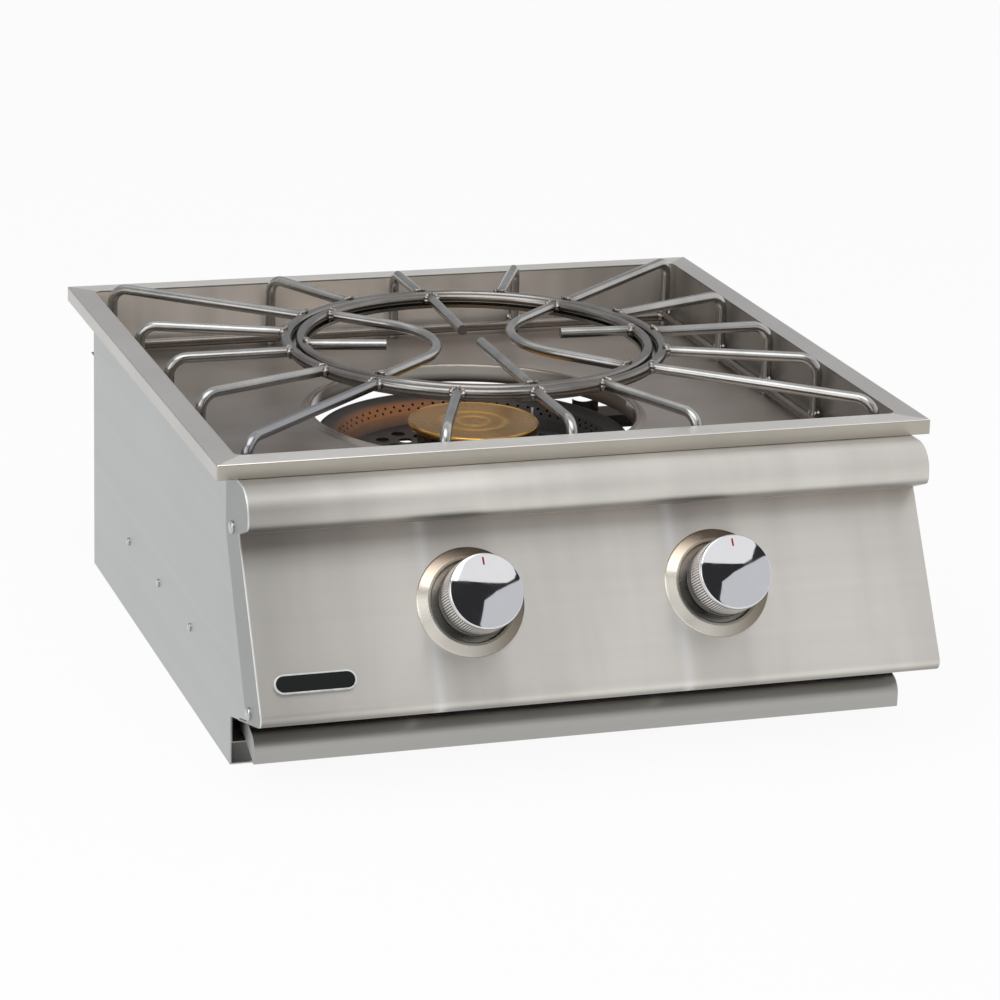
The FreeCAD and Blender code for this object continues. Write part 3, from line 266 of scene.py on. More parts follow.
class Finish(Wiring):
    """One procedural material. Its patterns are laid in the piece's own coordinates."""

    def __init__(self, name, tint, metallic=1.0, roughness=0.3, anisotropic=0.0, coat=0.0):
        self.material = bpy.data.materials.new(name)
        self.material.use_nodes = True
        self.material.diffuse_color = (*tint, 1.0)
        super().__init__(self.material.node_tree)
        self.shader = self.tree.nodes["Principled BSDF"]
        self.tint = Vector(tint)
        self.give("Base Color", tint)
        self.give("Metallic", metallic)
        self.give("Roughness", roughness)
        self.give("Anisotropic", anisotropic)
        self.give("Anisotropic Rotation", 0.25)
        self.give("Coat Weight", coat)
        self.give("Coat Roughness", 0.08)
        coordinates = self.node("ShaderNodeTexCoord").outputs
        self.place = coordinates["Object"]
        self.facing = coordinates["Normal"]
        self.surface = {}

    def give(self, name, value):
        self.feed(self.shader.inputs[name], value)

    def times(self, first, second):
        return self.maths("MULTIPLY", first, second)

    def size(self, value):
        return self.maths("ABSOLUTE", value)

    def apart(self, value, middle):
        return self.size(self.maths("SUBTRACT", value, middle))

    def weighed(self, base, *patterns):
        """base, plus each (pattern, share) of patterns multiplied out."""
        for pattern, share in patterns:
            base = self.maths("MULTIPLY_ADD", pattern, share, base)
        return base

    def parts(self, vector):
        return self.node("ShaderNodeSeparateXYZ", {"Vector": vector}).outputs

    def placed(self, centre=(0, 0, 0), tilt=0.0, scale=(1, 1, 1)):
        """Coordinates from centre, leaned back by tilt and multiplied by scale."""
        made = self.node("ShaderNodeMapping", {
            "Vector": self.place, "Location": centre, "Rotation": (tilt, 0, 0),
            "Scale": [1.0 / share for share in scale]}, vector_type="TEXTURE")
        return made.outputs["Vector"]

    def noise(self, scale, detail=3.0, roughness=0.55):
        """Cloudy noise with so many clouds to the metre, one number or one for each axis."""
        scale = scale if isinstance(scale, tuple) else (scale, scale, scale)
        made = self.node("ShaderNodeTexNoise", {
            "Vector": self.placed(scale=scale), "Scale": 1.0, "Detail": detail,
            "Roughness": roughness})
        return made.outputs["Fac"]

    def drawn(self, along, run, across, roughness=0.55):
        """Noise drawn out into lines along one axis."""
        scale = [across] * 3
        scale[along] = run
        return self.noise(tuple(scale), 2, roughness)

    def lines(self, along, pitch):
        return self.drawn(along, 6.0, 1.0 / pitch, 0.6)

    def rings(self, away, scale):
        """Fine rings round an axis, as a lathe leaves them."""
        made = self.node("ShaderNodeTexNoise", {"W": away, "Scale": scale},
                         noise_dimensions="1D")
        return made.outputs["Fac"]

    def spread(self, value, low_in=0.3, high_in=0.7, low_out=0.0, high_out=1.0, way="LINEAR"):
        ramp = self.node("ShaderNodeMapRange", {
            "Value": value, "From Min": low_in, "From Max": high_in, "To Min": low_out,
            "To Max": high_out}, interpolation_type=way)
        return ramp.outputs["Result"]

    def mix(self, factor, first, second, kind="RGBA", blend="MIX"):
        made = self.node("ShaderNodeMix", {"Factor": factor, "A": first, "B": second},
                         data_type=kind, blend_type=blend)
        return made.outputs["Result"]

    def dimmed(self, colour, value, dark_at, clear_at, share):
        """The colour times share, a number or a tint, where value is at dark_at. It is
        untouched from clear_at on."""
        tint = (share, share, share) if isinstance(share, float) else share
        fade = self.spread(value, dark_at, clear_at, 1.0, 0.0, "SMOOTHSTEP")
        return self.mix(fade, colour, tint, blend="MULTIPLY")

    def shade(self, value, share):
        """The finish's own tint, darker and lighter by a share as value goes 0 to 1."""
        return self.mix(value, self.tint * (1 - share), self.tint * (1 + share))

    def mottled(self, pattern, share):
        return self.shade(self.spread(pattern), share)

    def colour(self, value):
        self.give("Base Color", value)

    def coarse(self, base, *patterns):
        """Roughness of base and the weighed patterns."""
        self.give("Roughness", self.weighed(base, *patterns))

    def relief(self, made):
        self.surface = {"Normal": made.outputs["Normal"]}
        self.give("Normal", made.outputs["Normal"])

    def eased(self, radius):
        """Hard edges catch the light as if they were rounded."""
        self.relief(self.node("ShaderNodeBevel", {"Radius": radius}, samples=6))

    def bump(self, height, depth):
        self.relief(self.node("ShaderNodeBump", {
            "Height": height, "Distance": depth, "Strength": 1.0, **self.surface}))

    def brushed_along(self, direction):
        """Reflections spread across the brush lines, which run in this direction."""
        turn = self.node("ShaderNodeVectorTransform", {"Vector": direction},
                         vector_type="VECTOR", convert_from="OBJECT", convert_to="WORLD")
        self.give("Tangent", turn.outputs["Vector"])

    def ring_distance(self, centre, tilt=0.0):
        """Distance from an axis through centre, upright or leaned by tilt. The two
        coordinates from that axis are kept, for brushed_around and for other patterns."""
        self.tilt = tilt
        self.axis_x, self.axis_y, _ = self.parts(self.placed(centre, tilt))
        return self.maths("SQRT", self.maths("ADD", self.times(self.axis_x, self.axis_x),
                                             self.times(self.axis_y, self.axis_y)))

    def brushed_around(self):
        """The brush lines run in rings round the axis of ring_distance."""
        joined = self.node("ShaderNodeCombineXYZ", {"X": self.times(self.axis_y, -1.0),
                                                    "Y": self.axis_x})
        turned = self.node("ShaderNodeMapping", {
            "Vector": joined.outputs["Vector"], "Rotation": (self.tilt, 0, 0)},
            vector_type="VECTOR")
        self.brushed_along(turned.outputs["Vector"])


def tinted(tint, shares):
    """A tint with each of its three channels scaled by its own share."""
    return [channel * share for channel, share in zip(tint, shares)]


def brushed_sheet(name, tint, along, own, roughness=0.30, metallic=1.0, spread=0.6,
                  dressing=None):
    """Brushed stainless sheet: fine lines, broad streaks, faint handling marks."""
    finish = Finish(name, tint, metallic, roughness, spread)
    finish.eased(own.edge_round)
    lines = finish.lines(along, own.grain_pitch)
    streaks = finish.drawn(along, 0.9, 70.0)
    marks = finish.noise(5, 5, 0.6)
    plain = finish.mottled(finish.weighed(0.0, (streaks, 0.4), (marks, 0.6)), 0.05)
    finish.colour(dressing(finish, plain) if dressing else plain)
    finish.coarse(roughness - 0.10, (lines, 0.08), (marks, 0.12))
    finish.bump(lines, 0.000006)
    finish.brushed_along([float(axis == along) for axis in range(3)])
    return finish.material


def panel_dressing(sideways_shade):
    """Painted light on the control panel: darker, cooler painted shade on the end flanges,
    a painted shadow under the bullnose, painted shade on its underside and left end,
    upright streaks of painted shade, the knobs' reflections painted in shade and highlight,
    and a painted highlight on the left edge."""
    nose_shadow = 0.020
    reflection_near, reflection_far, reflection_shift = 0.016, 0.034, 0.002
    glint_shift, glint_half = 0.035, 0.007

    def dressing(finish, plain):
        x, _, z = finish.parts(finish.place)
        side, _, up = finish.parts(finish.facing)
        on_face = finish.maths("LESS_THAN", z, NOSE_Z + 0.001)
        # Painted shadow under the bullnose.
        plain = finish.dimmed(plain, finish.times(z, on_face), NOSE_Z, NOSE_Z - nose_shadow,
                              (0.80, 0.76, 0.73))
        # Painted shade on faces that look down, under the bullnose.
        plain = finish.dimmed(plain, up, -0.7, 0.1, 0.5)
        # Painted shade towards the left end of the panel.
        plain = finish.dimmed(plain, x, -0.300, -0.100, 0.60)
        # Upright streaks of painted shade, standing for blurred reflections in the brushed steel.
        plain = finish.dimmed(plain, finish.noise((16, 1, 3)), 0.34, 0.62, 0.90)
        for foot in (dial_foot("left"), dial_foot("right")):
            # Beside each knob, an upright band of painted shade and a thin painted highlight
            # stand for the knob's reflection in the brushed steel.
            streak = finish.spread(finish.apart(x, foot.x - reflection_shift), reflection_near,
                                   reflection_far, 1, 0)
            plain = finish.dimmed(plain, finish.times(streak, on_face), 1.0, 0.0, 0.88)
            glint = finish.spread(finish.apart(x, foot.x - glint_shift), 0.0, glint_half,
                                  0.34, 0)
            plain = finish.mix(finish.times(glint, on_face), plain, (0.92, 0.94, 0.96))
        # Painted highlight along the left edge of the panel.
        end_highlight = finish.spread(x, PANEL_END + 0.0006, PANEL_END + 0.0018, 0.8, 0)
        plain = finish.mix(end_highlight, plain, (0.95, 0.95, 0.93))
        # Painted shade: the end flanges, which face sideways, take a darker copy of the side
        # panels' cooler tint.
        return finish.mix(finish.spread(finish.size(side), 0.7, 0.9), plain, sideways_shade)
    return dressing


def side_dressing(inner_x, front_y, top_z):
    """Painted shade on the folded foot, where the tray's notch opens."""
    def dressing(finish, plain):
        x, y, z = finish.parts(finish.place)
        inside = finish.maths("LESS_THAN", finish.size(x), inner_x)
        front = finish.maths("LESS_THAN", y, front_y)
        low = finish.maths("LESS_THAN", z, top_z)
        shaded = finish.times(inside, finish.times(front, low))
        return finish.mix(shaded, plain, finish.tint * 0.12)
    return dressing


def rim_steel(own):
    """Rim steel: the brush lines run along each of its four members and meet in mitres."""
    seam_half = 0.0007
    finish = Finish("rim_steel", own.rim_tint, 1.0, 0.3, 0.5)
    finish.eased(own.edge_round)
    x, y, _ = finish.parts(finish.placed((0, RIM_MID_Y, 0)))
    mitre = finish.weighed(RIM_HALF_Y - RIM_HIGH.x, (finish.size(x), 1.0), (finish.size(y), -1.0))
    on_side = finish.maths("GREATER_THAN", mitre, 0.0)
    lines = finish.mix(on_side, finish.lines(0, own.grain_pitch),
                       finish.lines(1, own.grain_pitch), "FLOAT")
    seam = finish.spread(finish.size(mitre), 0.0, seam_half, 0.35, 0.0)
    plain = finish.mottled(finish.noise(7, 4), 0.06)
    plain = finish.mix(seam, plain, finish.tint * 0.6)
    # Painted shade on the side members.
    plain = finish.dimmed(plain, on_side, 1.0, 0.0, 0.82)
    sideways, forwards, _ = finish.parts(finish.facing)
    # Painted shade on faces that look sideways, and a darker, browner painted shade on faces that
    # look forwards or back.
    plain = finish.dimmed(plain, finish.size(sideways), 0.95, 0.5, 0.6)
    plain = finish.dimmed(plain, finish.size(forwards), 0.95, 0.5, (0.46, 0.44, 0.41))
    finish.colour(plain)
    finish.coarse(0.24, (lines, 0.12))
    finish.bump(lines, 0.000006)
    finish.brushed_along(finish.mix(on_side, (1, 0, 0), (0, 1, 0), "VECTOR"))
    return finish.material


def basin_steel(own):
    """Pan steel: softly brushed floor and warm walls, both with painted shade in places, and a
    lip round the burner hole painted with a highlight and shade.
    """
    wall_low, wall_high = FLOOR_Z + 0.002, FLOOR_Z + 0.014
    lip_near, lip_far = HOLE_R + 0.0012, HOLE_R + 0.0052
    skirt_low, skirt_high = FLOOR_Z - 0.012, FLOOR_Z - 0.005
    finish = Finish("basin_steel", own.basin_tint, 0.6, 0.30)
    x, _, z = finish.parts(finish.place)
    sideways, towards, _ = finish.parts(finish.facing)
    wall_tint = Vector(own.wall_tint)
    walls = finish.mix(finish.spread(finish.noise((20, 20, 1.2), 2), 0.35, 0.65),
                       wall_tint * 0.88, wall_tint * 1.14)
    # Painted shade on the right-hand wall, whose face looks left, and on the walls towards the
    # right.
    walls = finish.dimmed(walls, sideways, -0.9, -0.4, 0.50)
    walls = finish.dimmed(walls, x, 0.27, 0.02, 0.66)
    smoked = finish.spread(finish.noise((9, 16, 9), 4), 0.42, 0.62, 0, 0.55)
    floor = finish.mix(smoked, finish.mottled(finish.noise(6, 5), 0.10),
                       tinted(own.basin_tint, (0.78, 0.70, 0.64)))
    # Painted shade towards the left of the floor.
    floor = finish.dimmed(floor, x, -0.26, 0.16, 0.58)
    # The lip: a pale painted highlight where it faces front, dark brown painted shade where it
    # faces elsewhere, and deeper painted shade down its skirt.
    lip_lit_and_shaded = finish.mix(finish.spread(towards, -0.95, -0.55), (0.82, 0.78, 0.71),
                        (0.20, 0.155, 0.13))
    lip = finish.mix(finish.spread(z, skirt_low, skirt_high, 1, 0), lip_lit_and_shaded,
                     (0.085, 0.058, 0.042))
    # The walls take a lighter, warmer tone of the same steel than the floor: partly heat tint,
    # partly a painted difference of light between walls and floor.
    plain = finish.mix(finish.spread(z, wall_low, wall_high), floor, walls)
    at_hole = finish.spread(finish.ring_distance((0, CAP_Y, 0)), lip_near, lip_far, 1, 0)
    finish.colour(finish.mix(at_hole, plain, lip))
    finish.give("Metallic", finish.mix(at_hole, 0.6, 0.25, "FLOAT"))
    lines = finish.lines(0, own.grain_pitch)
    finish.coarse(finish.mix(at_hole, 0.26, 0.12, "FLOAT"), (lines, 0.08))
    finish.bump(lines, 0.000005)
    return finish.material


def rod_steel(name, tint, heat_tint, weld_r, ground=False, blue=None):
    """Polished rod: drawn lines, straw and brown heat colour near the ring's welds."""
    heat_near, heat_far = 0.003, 0.016
    blue_from, blue_full = 0.105, 0.135
    finish = Finish(name, tint, 1.0, 0.22)
    away = finish.ring_distance((RING_X, GRATE_Y, 0))
    near = finish.spread(finish.apart(away, weld_r), heat_near, heat_far, 1, 0)
    patchy = finish.noise(24, 4)
    fine = finish.noise(420)
    plain = finish.mottled(patchy, 0.16)
    if blue is not None:
        corner = finish.maths("MINIMUM", finish.times(finish.axis_x, -1.0),
                              finish.times(finish.axis_y, -1.0))
        spot = finish.spread(corner, blue_from, blue_full, 0, 0.8)
        plain = finish.mix(finish.times(spot, patchy), plain, blue)
    heat = finish.times(near, finish.spread(patchy, 0.35, 0.65, 0.15, 0.85))
    finish.colour(finish.mix(heat, plain, heat_tint))
    finish.coarse(0.12, (patchy, 0.14), (fine, 0.08))
    finish.bump(fine, 0.000015)
    if ground:
        finish.bump(finish.rings(away, 2400.0), 0.000008)
    return finish.material


def bezel_satin(side, tint, lean):
    """Bezels are turned on a lathe; painted shade darkens them towards the right, and a brown
    painted shade towards the top, standing for their reflections.
    """
    shade_half = 0.040
    top_shade_high, top_shade_low = 0.036, -0.004
    foot = dial_foot(side)
    finish = Finish(side + "_bezel_satin", tint, 1.0, 0.27, 0.85)
    finish.eased(0.0006)
    away = finish.ring_distance(foot, lean)
    stain = finish.noise(28, 4)
    x, _, z = finish.parts(finish.place)
    plain = finish.mottled(stain, 0.04)
    # Painted shade towards the right of the bezel.
    plain = finish.dimmed(plain, x, foot.x + shade_half, foot.x - shade_half,
                          (0.30, 0.275, 0.24))
    # Brown painted shade towards the top of the bezel.
    plain = finish.dimmed(plain, z, foot.z + top_shade_high, foot.z + top_shade_low,
                          (0.62, 0.53, 0.46))
    finish.colour(plain)
    finish.coarse(0.21, (stain, 0.12))
    finish.bump(finish.rings(away, 1600.0), 0.000012)
    finish.brushed_around()
    return finish.material


def cap_brass(tint):
    """Brass of the burner cap, browned by heat, with painted highlights on its two raised rings.
    """
    highlight_near, highlight_far = 0.0006, 0.0040
    finish = Finish("cap_brass", tint, 1.0, 0.3, 0.5)
    away = finish.ring_distance((0, CAP_Y, 0))
    stain = finish.noise(22, 4)
    # Painted highlights on the two raised rings.
    ring_highlights = [finish.spread(finish.apart(away, radius), highlight_near, highlight_far, 1, 0)
             for radius in CAP_RINGS]
    finish.colour(finish.mix(finish.maths("MAXIMUM", *ring_highlights), finish.mottled(stain, 0.12),
                             tinted(tint, (1.5, 1.55, 1.1))))
    finish.coarse(0.20, (stain, 0.15))
    finish.bump(finish.rings(away, 1500.0), 0.000008)
    finish.brushed_around()
    return finish.material


def cast_metal(name, tint, warm_tint, metallic=0.6, roughness=0.55):
    """Cast surface: sandy grain, rust brown warmth where it gets hot."""
    finish = Finish(name, tint, metallic, roughness)
    sand = finish.noise(900)
    warm = finish.spread(finish.noise(30, 5), 0.5, 0.75, 0, 0.8)
    finish.colour(finish.mix(warm, tint, warm_tint))
    finish.coarse(finish.spread(sand, 0.3, 0.7, roughness - 0.12, roughness + 0.15))
    finish.bump(sand, 0.0002)
    return finish.material


def ring_iron(tint, warm_tint):
    """Dark cast ring, coppery on its wall round the ports towards the far left, and darker with
    painted shade towards the right.
    """
    wall_near, wall_far = 0.002, 0.010
    finish = Finish("ring_iron", tint, 0.55, 0.42)
    sand = finish.noise(800)
    patch = finish.noise(26, 4)
    away = finish.ring_distance((0, CAP_Y, 0))
    wall = finish.spread(finish.apart(away, PORT_R), wall_near, wall_far, 1, 0)
    far = finish.times(finish.spread(finish.axis_y, 0.0, 0.09, 0.08, 1),
                       finish.spread(finish.axis_x, -0.03, 0.04, 1, 0.06))
    warm = finish.times(finish.times(wall, far), finish.spread(patch, 0.3, 0.7, 0.55, 1.0))
    iron = finish.mix(warm, finish.mix(patch, tint, finish.tint * 1.6), warm_tint)
    # Painted shade towards the right of the ring.
    finish.colour(finish.dimmed(iron, finish.axis_x, 0.05, -0.03, 0.35))
    finish.coarse(finish.spread(sand, 0.3, 0.7, 0.32, 0.50))
    finish.bump(sand, 0.00008)
    return finish.material


def plated_metal(name, tint, roughness=0.35, metallic=1.0):
    """Plain plated or drawn metal with a soft mottled lustre."""
    finish = Finish(name, tint, metallic, roughness)
    mottle = finish.noise(60, 5)
    finish.colour(finish.mottled(mottle, 0.10))
    finish.coarse(finish.spread(mottle, 0.3, 0.7, roughness - 0.08, roughness + 0.1))
    finish.bump(finish.noise(1200, 2), 0.00002)
    return finish.material


def mirror_chrome(name, tint, roughness=0.035):
    """Bright chrome with the faintest polishing haze."""
    finish = Finish(name, tint, 1.0, roughness)
    haze = finish.noise(90, 4)
    finish.colour(finish.shade(haze, 0.03))
    finish.coarse(finish.spread(haze, 0.3, 0.7, roughness * 0.6, roughness * 1.8))
    finish.bump(haze, 0.000004)
    return finish.material


def enamel(name, tint, roughness):
    """Paint with a slight orange peel."""
    finish = Finish(name, tint, 0.0, roughness)
    finish.give("Specular IOR Level", 0.12)
    peel = finish.noise(500, 2)
    finish.colour(finish.shade(peel, 0.10))
    finish.coarse(finish.spread(peel, 0.3, 0.7, roughness - 0.04, roughness + 0.04))
    finish.bump(peel, 0.000006)
    return finish.material


def ceramic(name, tint, soot_tint):
    """Glazed white insulator with a little soot."""
    finish = Finish(name, tint, 0.0, 0.3, coat=0.6)
    soot = finish.noise((120, 120, 60), 4)
    finish.colour(finish.mix(finish.spread(soot, 0.5, 0.8, 0, 0.6), tint, soot_tint))
    finish.bump(soot, 0.00005)
    return finish.material


def paint(material, *names):
    for name in names:
        data = NODES[name].data
        data.materials.clear()
        data.materials.append(material)


# Grown and swept shapes

class Tree(Wiring):
    """A geometry node tree with a named input for each of its sizes."""

    def __init__(self, name, sizes):
        super().__init__(bpy.data.node_groups.new(name, "GeometryNodeTree"))
        self.tree.is_modifier = True
        for way in ("INPUT", "OUTPUT"):
            self.named("Geometry", "NodeSocketGeometry", way)
        self.values = {}
        for size, value in sizes.items():
            kind = "NodeSocketInt" if isinstance(value, int) else "NodeSocketFloat"
            self.values[self.named(size, kind, "INPUT").identifier] = value
        self.given = self.node("NodeGroupInput").outputs

    def named(self, name, kind, way):
        return self.tree.interface.new_socket(name, in_out=way, socket_type=kind)

    def bar(self, line, radius, sides):
        """A round bar along a curve, with closed ends."""
        circle = self.node("GeometryNodeCurvePrimitiveCircle", {
            "Resolution": sides, "Radius": radius})
        bar = self.node("GeometryNodeCurveToMesh", {
            "Curve": line.outputs["Curve"], "Profile Curve": circle.outputs["Curve"],
            "Fill Caps": True})
        return bar.outputs["Mesh"]

    def grow(self, name, mesh, shape, material):
        """Ends the tree in shape, runs it on mesh and keeps the outcome as a plain piece."""
        real = self.node("GeometryNodeRealizeInstances", {"Geometry": shape})
        painted = self.node("GeometryNodeSetMaterial", {
            "Geometry": real.outputs["Geometry"], "Material": material})
        self.node("NodeGroupOutput", {"Geometry": painted.outputs["Geometry"]})
        piece = added(name, mesh)
        modifier = piece.modifiers.new("Growth", "NODES")
        modifier.node_group = self.tree
        for identifier, value in self.values.items():
            modifier[identifier] = value
        bpy.context.view_layer.update()
        graph = bpy.context.evaluated_depsgraph_get()
        grown = bpy.data.meshes.new_from_object(piece.evaluated_get(graph),
                                                preserve_all_data_layers=False, depsgraph=graph)
        piece.modifiers.clear()
        piece.data = grown
        grown.name = name
        if not grown.polygons:
            raise RuntimeError(name + " came out empty")
        return piece


def added(name, data):
    """A new object in the scene."""
    made = bpy.data.objects.new(name, data)
    bpy.context.scene.collection.objects.link(made)
    return made


def placed_points(name, places):
    """Loose points that carry a turn each, for instancing. places is [(point, matrix3)]."""
    mesh = bpy.data.meshes.new(name)
    mesh.from_pydata([tuple(point) for point, _ in places], [], [])
    turns = mesh.attributes.new("turn", "FLOAT_VECTOR", "POINT")
    for i, (_, matrix) in enumerate(places):
        turns.data[i].vector = matrix.to_euler("XYZ")
    return mesh


def turned_frame(out, side):
    """Rotation whose X points out and whose Y points to the side."""
    x = out.normalized()
    z = x.cross(side).normalized()
    return Matrix((x, z.cross(x), z)).transposed()


def full_turn(count):
    """The angles of so many equal steps round a circle."""
    return [2 * math.pi * i / count for i in range(count)]


def smooth(mesh, angle):
    """Smooth shading, with edges sharp from the angle on, in degrees."""
    for face in mesh.polygons:
        face.use_smooth = True
    edges = bmesh.new()
    edges.from_mesh(mesh)
    for edge in edges.edges:
        edge.smooth = edge.calc_face_angle(0.0) < math.radians(angle)
    edges.to_mesh(mesh)
    edges.free()


def outward(mesh):
    """Joins doubled points and turns all faces outwards."""
    made = bmesh.new()
    made.from_mesh(mesh)
    bmesh.ops.remove_doubles(made, verts=made.verts, dist=1e-7)
    bmesh.ops.recalc_face_normals(made, faces=made.faces)
    made.to_mesh(mesh)
    made.free()


def built(name, points, faces, angle, place=Matrix()):
    """A closed mesh at place, smooth up to the angle."""
    mesh = bpy.data.meshes.new(name)
    mesh.from_pydata(points, [], faces)
    mesh.transform(place)
    outward(mesh)
    smooth(mesh, angle)
    return mesh


def ring_faces(rings, around, first=0, closed=False):
    """Faces between neighbouring rings of points, also from the last to the first if closed."""
    faces = []
    for k in range(rings if closed else rings - 1):
        low = first + k * around
        high = first + (k + 1) % rings * around
        for i in range(around):
            beside = (i + 1) % around
            faces.append((low + i, high + i, high + beside, low + beside))
    return faces


def tube_faces(rings, around, first=0):
    """Faces of a tube through rings of points, and one over each end."""
    last = first + (rings - 1) * around
    return ring_faces(rings, around, first) + [
        tuple(range(first, first + around)), tuple(range(last, last + around))]


def finish_piece(piece, body, nodes=()):
    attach(piece, body)
    if nodes:
        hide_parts(*nodes)
    return piece


def edge_paths(name, paths, closed=False):
    """Loose edges along each path, as one mesh."""
    points, edges = [], []
    for path in paths:
        first = len(points)
        points += [tuple(point) for point in path]
        edges += [(i, i + 1) for i in range(first, len(points) - 1)]
        if closed:
            edges.append((len(points) - 1, first))
    mesh = bpy.data.meshes.new(name)
    mesh.from_pydata(points, edges, [])
    return mesh


def bent_path(points, bend, steps=10):
    """Points along a rod that turns every inner corner at the bend radius."""
    path = [points[0]]
    for before, here, after in zip(points, points[1:], points[2:]):
        back = (before - here).normalized()
        ahead = (after - here).normalized()
        half = back.angle(ahead) / 2
        centre = here + (back + ahead).normalized() * bend / math.sin(half)
        reach = bend / math.tan(half)
        first = (here + back * reach - centre).normalized()
        last = (here + ahead * reach - centre).normalized()
        path += [centre + first.slerp(last, i / steps) * bend for i in range(steps + 1)]
    return path + [points[-1]]


def swept(name, paths, radius, material, sides, closed=False):
    """Round rods of one radius along the paths, as one piece."""
    tree = Tree(name, {"Radius": radius, "Sides": sides})
    line = tree.node("GeometryNodeMeshToCurve", {"Mesh": tree.given["Geometry"]})
    bar = tree.bar(line, tree.given["Radius"], tree.given["Sides"])
    piece = tree.grow(name, edge_paths(name + "_line", paths, closed), bar, material)
    outward(piece.data)
    smooth(piece.data, 50)
    return piece


def lathed(name, profile, material, place, segments=128, angle=35.0):
    """A closed (radius, height) outline turned round Z, then put at place."""
    points = [(r * math.cos(turn), r * math.sin(turn), z)
              for turn in full_turn(segments) for r, z in profile]
    faces = ring_faces(segments, len(profile), closed=True)
    mesh = built(name, points, faces, angle, place)
    mesh.materials.append(material)
    return added(name, mesh)


def bead_mesh(radius, ripples):
    """Weld metal on both sides of a rod that ends square on another rod of the same size."""
    reach, proud, wave_share, around = math.radians(84), 0.0004, 0.22, 10
    rows = ripples * 4 + 1
    points, faces = [], []
    for flip in (-1, 1):
        faces += tube_faces(rows, around, len(points))
        for i in range(rows):
            share = i / (rows - 1)
            angle = reach * (2 * share - 1)
            taper = math.sin(math.pi * min(max(share, 0.03), 0.97)) ** 0.4
            wave = 1.0 + wave_share * math.cos(2 * math.pi * ripples * share + flip)
            thick = radius * taper * wave
            centre = Vector((ROD * math.cos(angle) + proud,
                             flip * (ROD * math.cos(angle) + proud),
                             ROD * math.sin(angle) - proud))
            ahead = Vector((0, -flip * math.sin(angle), math.cos(angle)))
            side = ahead.cross(Vector((1, flip, 0))).normalized()
            out = side.cross(ahead).normalized()
            points += [centre + (out * math.cos(turn) + side * math.sin(turn)) * thick
                       for turn in full_turn(around)]
    return built("bead", points, faces, 60)


def rib_mesh(radius, low, high):
    """One knurl rib: a slim bar along Z with rounded ends, half sunk in the knob's side."""
    ends = ((0.0, 0.45), (0.04, 0.85), (0.1, 1.0), (0.93, 1.0), (1.0, 0.7))
    around = 5
    turns = [math.radians(-90 + 45 * k) for k in range(around)]
    points = [(radius * size * math.cos(turn), radius * size * math.sin(turn),
               low + (high - low) * share) for share, size in ends for turn in turns]
    return built("rib", points, tube_faces(len(ends), around), 60)


def instanced(name, places, mesh, material):
    """A copy of mesh at every place, as one piece."""
    model = bpy.data.objects.new(name + "_model", mesh)
    tree = Tree(name, {"Scale": 1.0})
    info = tree.node("GeometryNodeObjectInfo", {"Object": model})
    turn = tree.node("GeometryNodeInputNamedAttribute", {"Name": "turn"},
                     data_type="FLOAT_VECTOR")
    rotation = tree.node("FunctionNodeEulerToRotation", {"Euler": turn.outputs["Attribute"]})
    copies = tree.node("GeometryNodeInstanceOnPoints", {
        "Points": tree.given["Geometry"], "Instance": info.outputs["Geometry"],
        "Rotation": rotation.outputs["Rotation"], "Scale": tree.given["Scale"]})
    piece = tree.grow(name, placed_points(name + "_points", places),
                      copies.outputs["Instances"], material)
    bpy.data.objects.remove(model)
    return piece


# Steps

class SheetMetal(bpy.types.Operator):
    """Brushed steel on the rim, the basin, the panels and the tray"""
    bl_idname = "side_burner.sheet_metal"
    bl_label = "Sheet Metal"

    def execute(self, context):
        own = settings("side_burner_sheet")
        notch_depth, notch_height, sheet = 0.06, 0.05, 0.0013
        paint(rim_steel(own), "top_rim")
        paint(basin_steel(own), "basin")
        # A darker copy of the side tint: painted shade for the panel's end flanges.
        shades = panel_dressing(Vector(own.side_tint) * 0.74)
        paint(brushed_sheet("panel_steel", own.panel_tint, 0, own, 0.36, 0.9, 0.9, shades),
              "control_panel")
        shades = side_dressing(SIDE_HIGH.x - sheet, SIDE_LOW.y + notch_depth, notch_height)
        paint(brushed_sheet("side_steel", own.side_tint, 1, own, 0.38, dressing=shades),
              "left_side_panel", "right_side_panel")
        paint(brushed_sheet("tray_steel", own.tray_tint, 0, own), "tray_front")
        paint(brushed_sheet("inner_steel", own.inner_tint, 0, own, 0.38), "back_panel",
              "heat_shield", "drip_tray", "front_burner_bar", "rear_burner_bar",
              "burner_bar_clips", "left_tray_rail", "right_tray_rail")
        return {"FINISHED"}


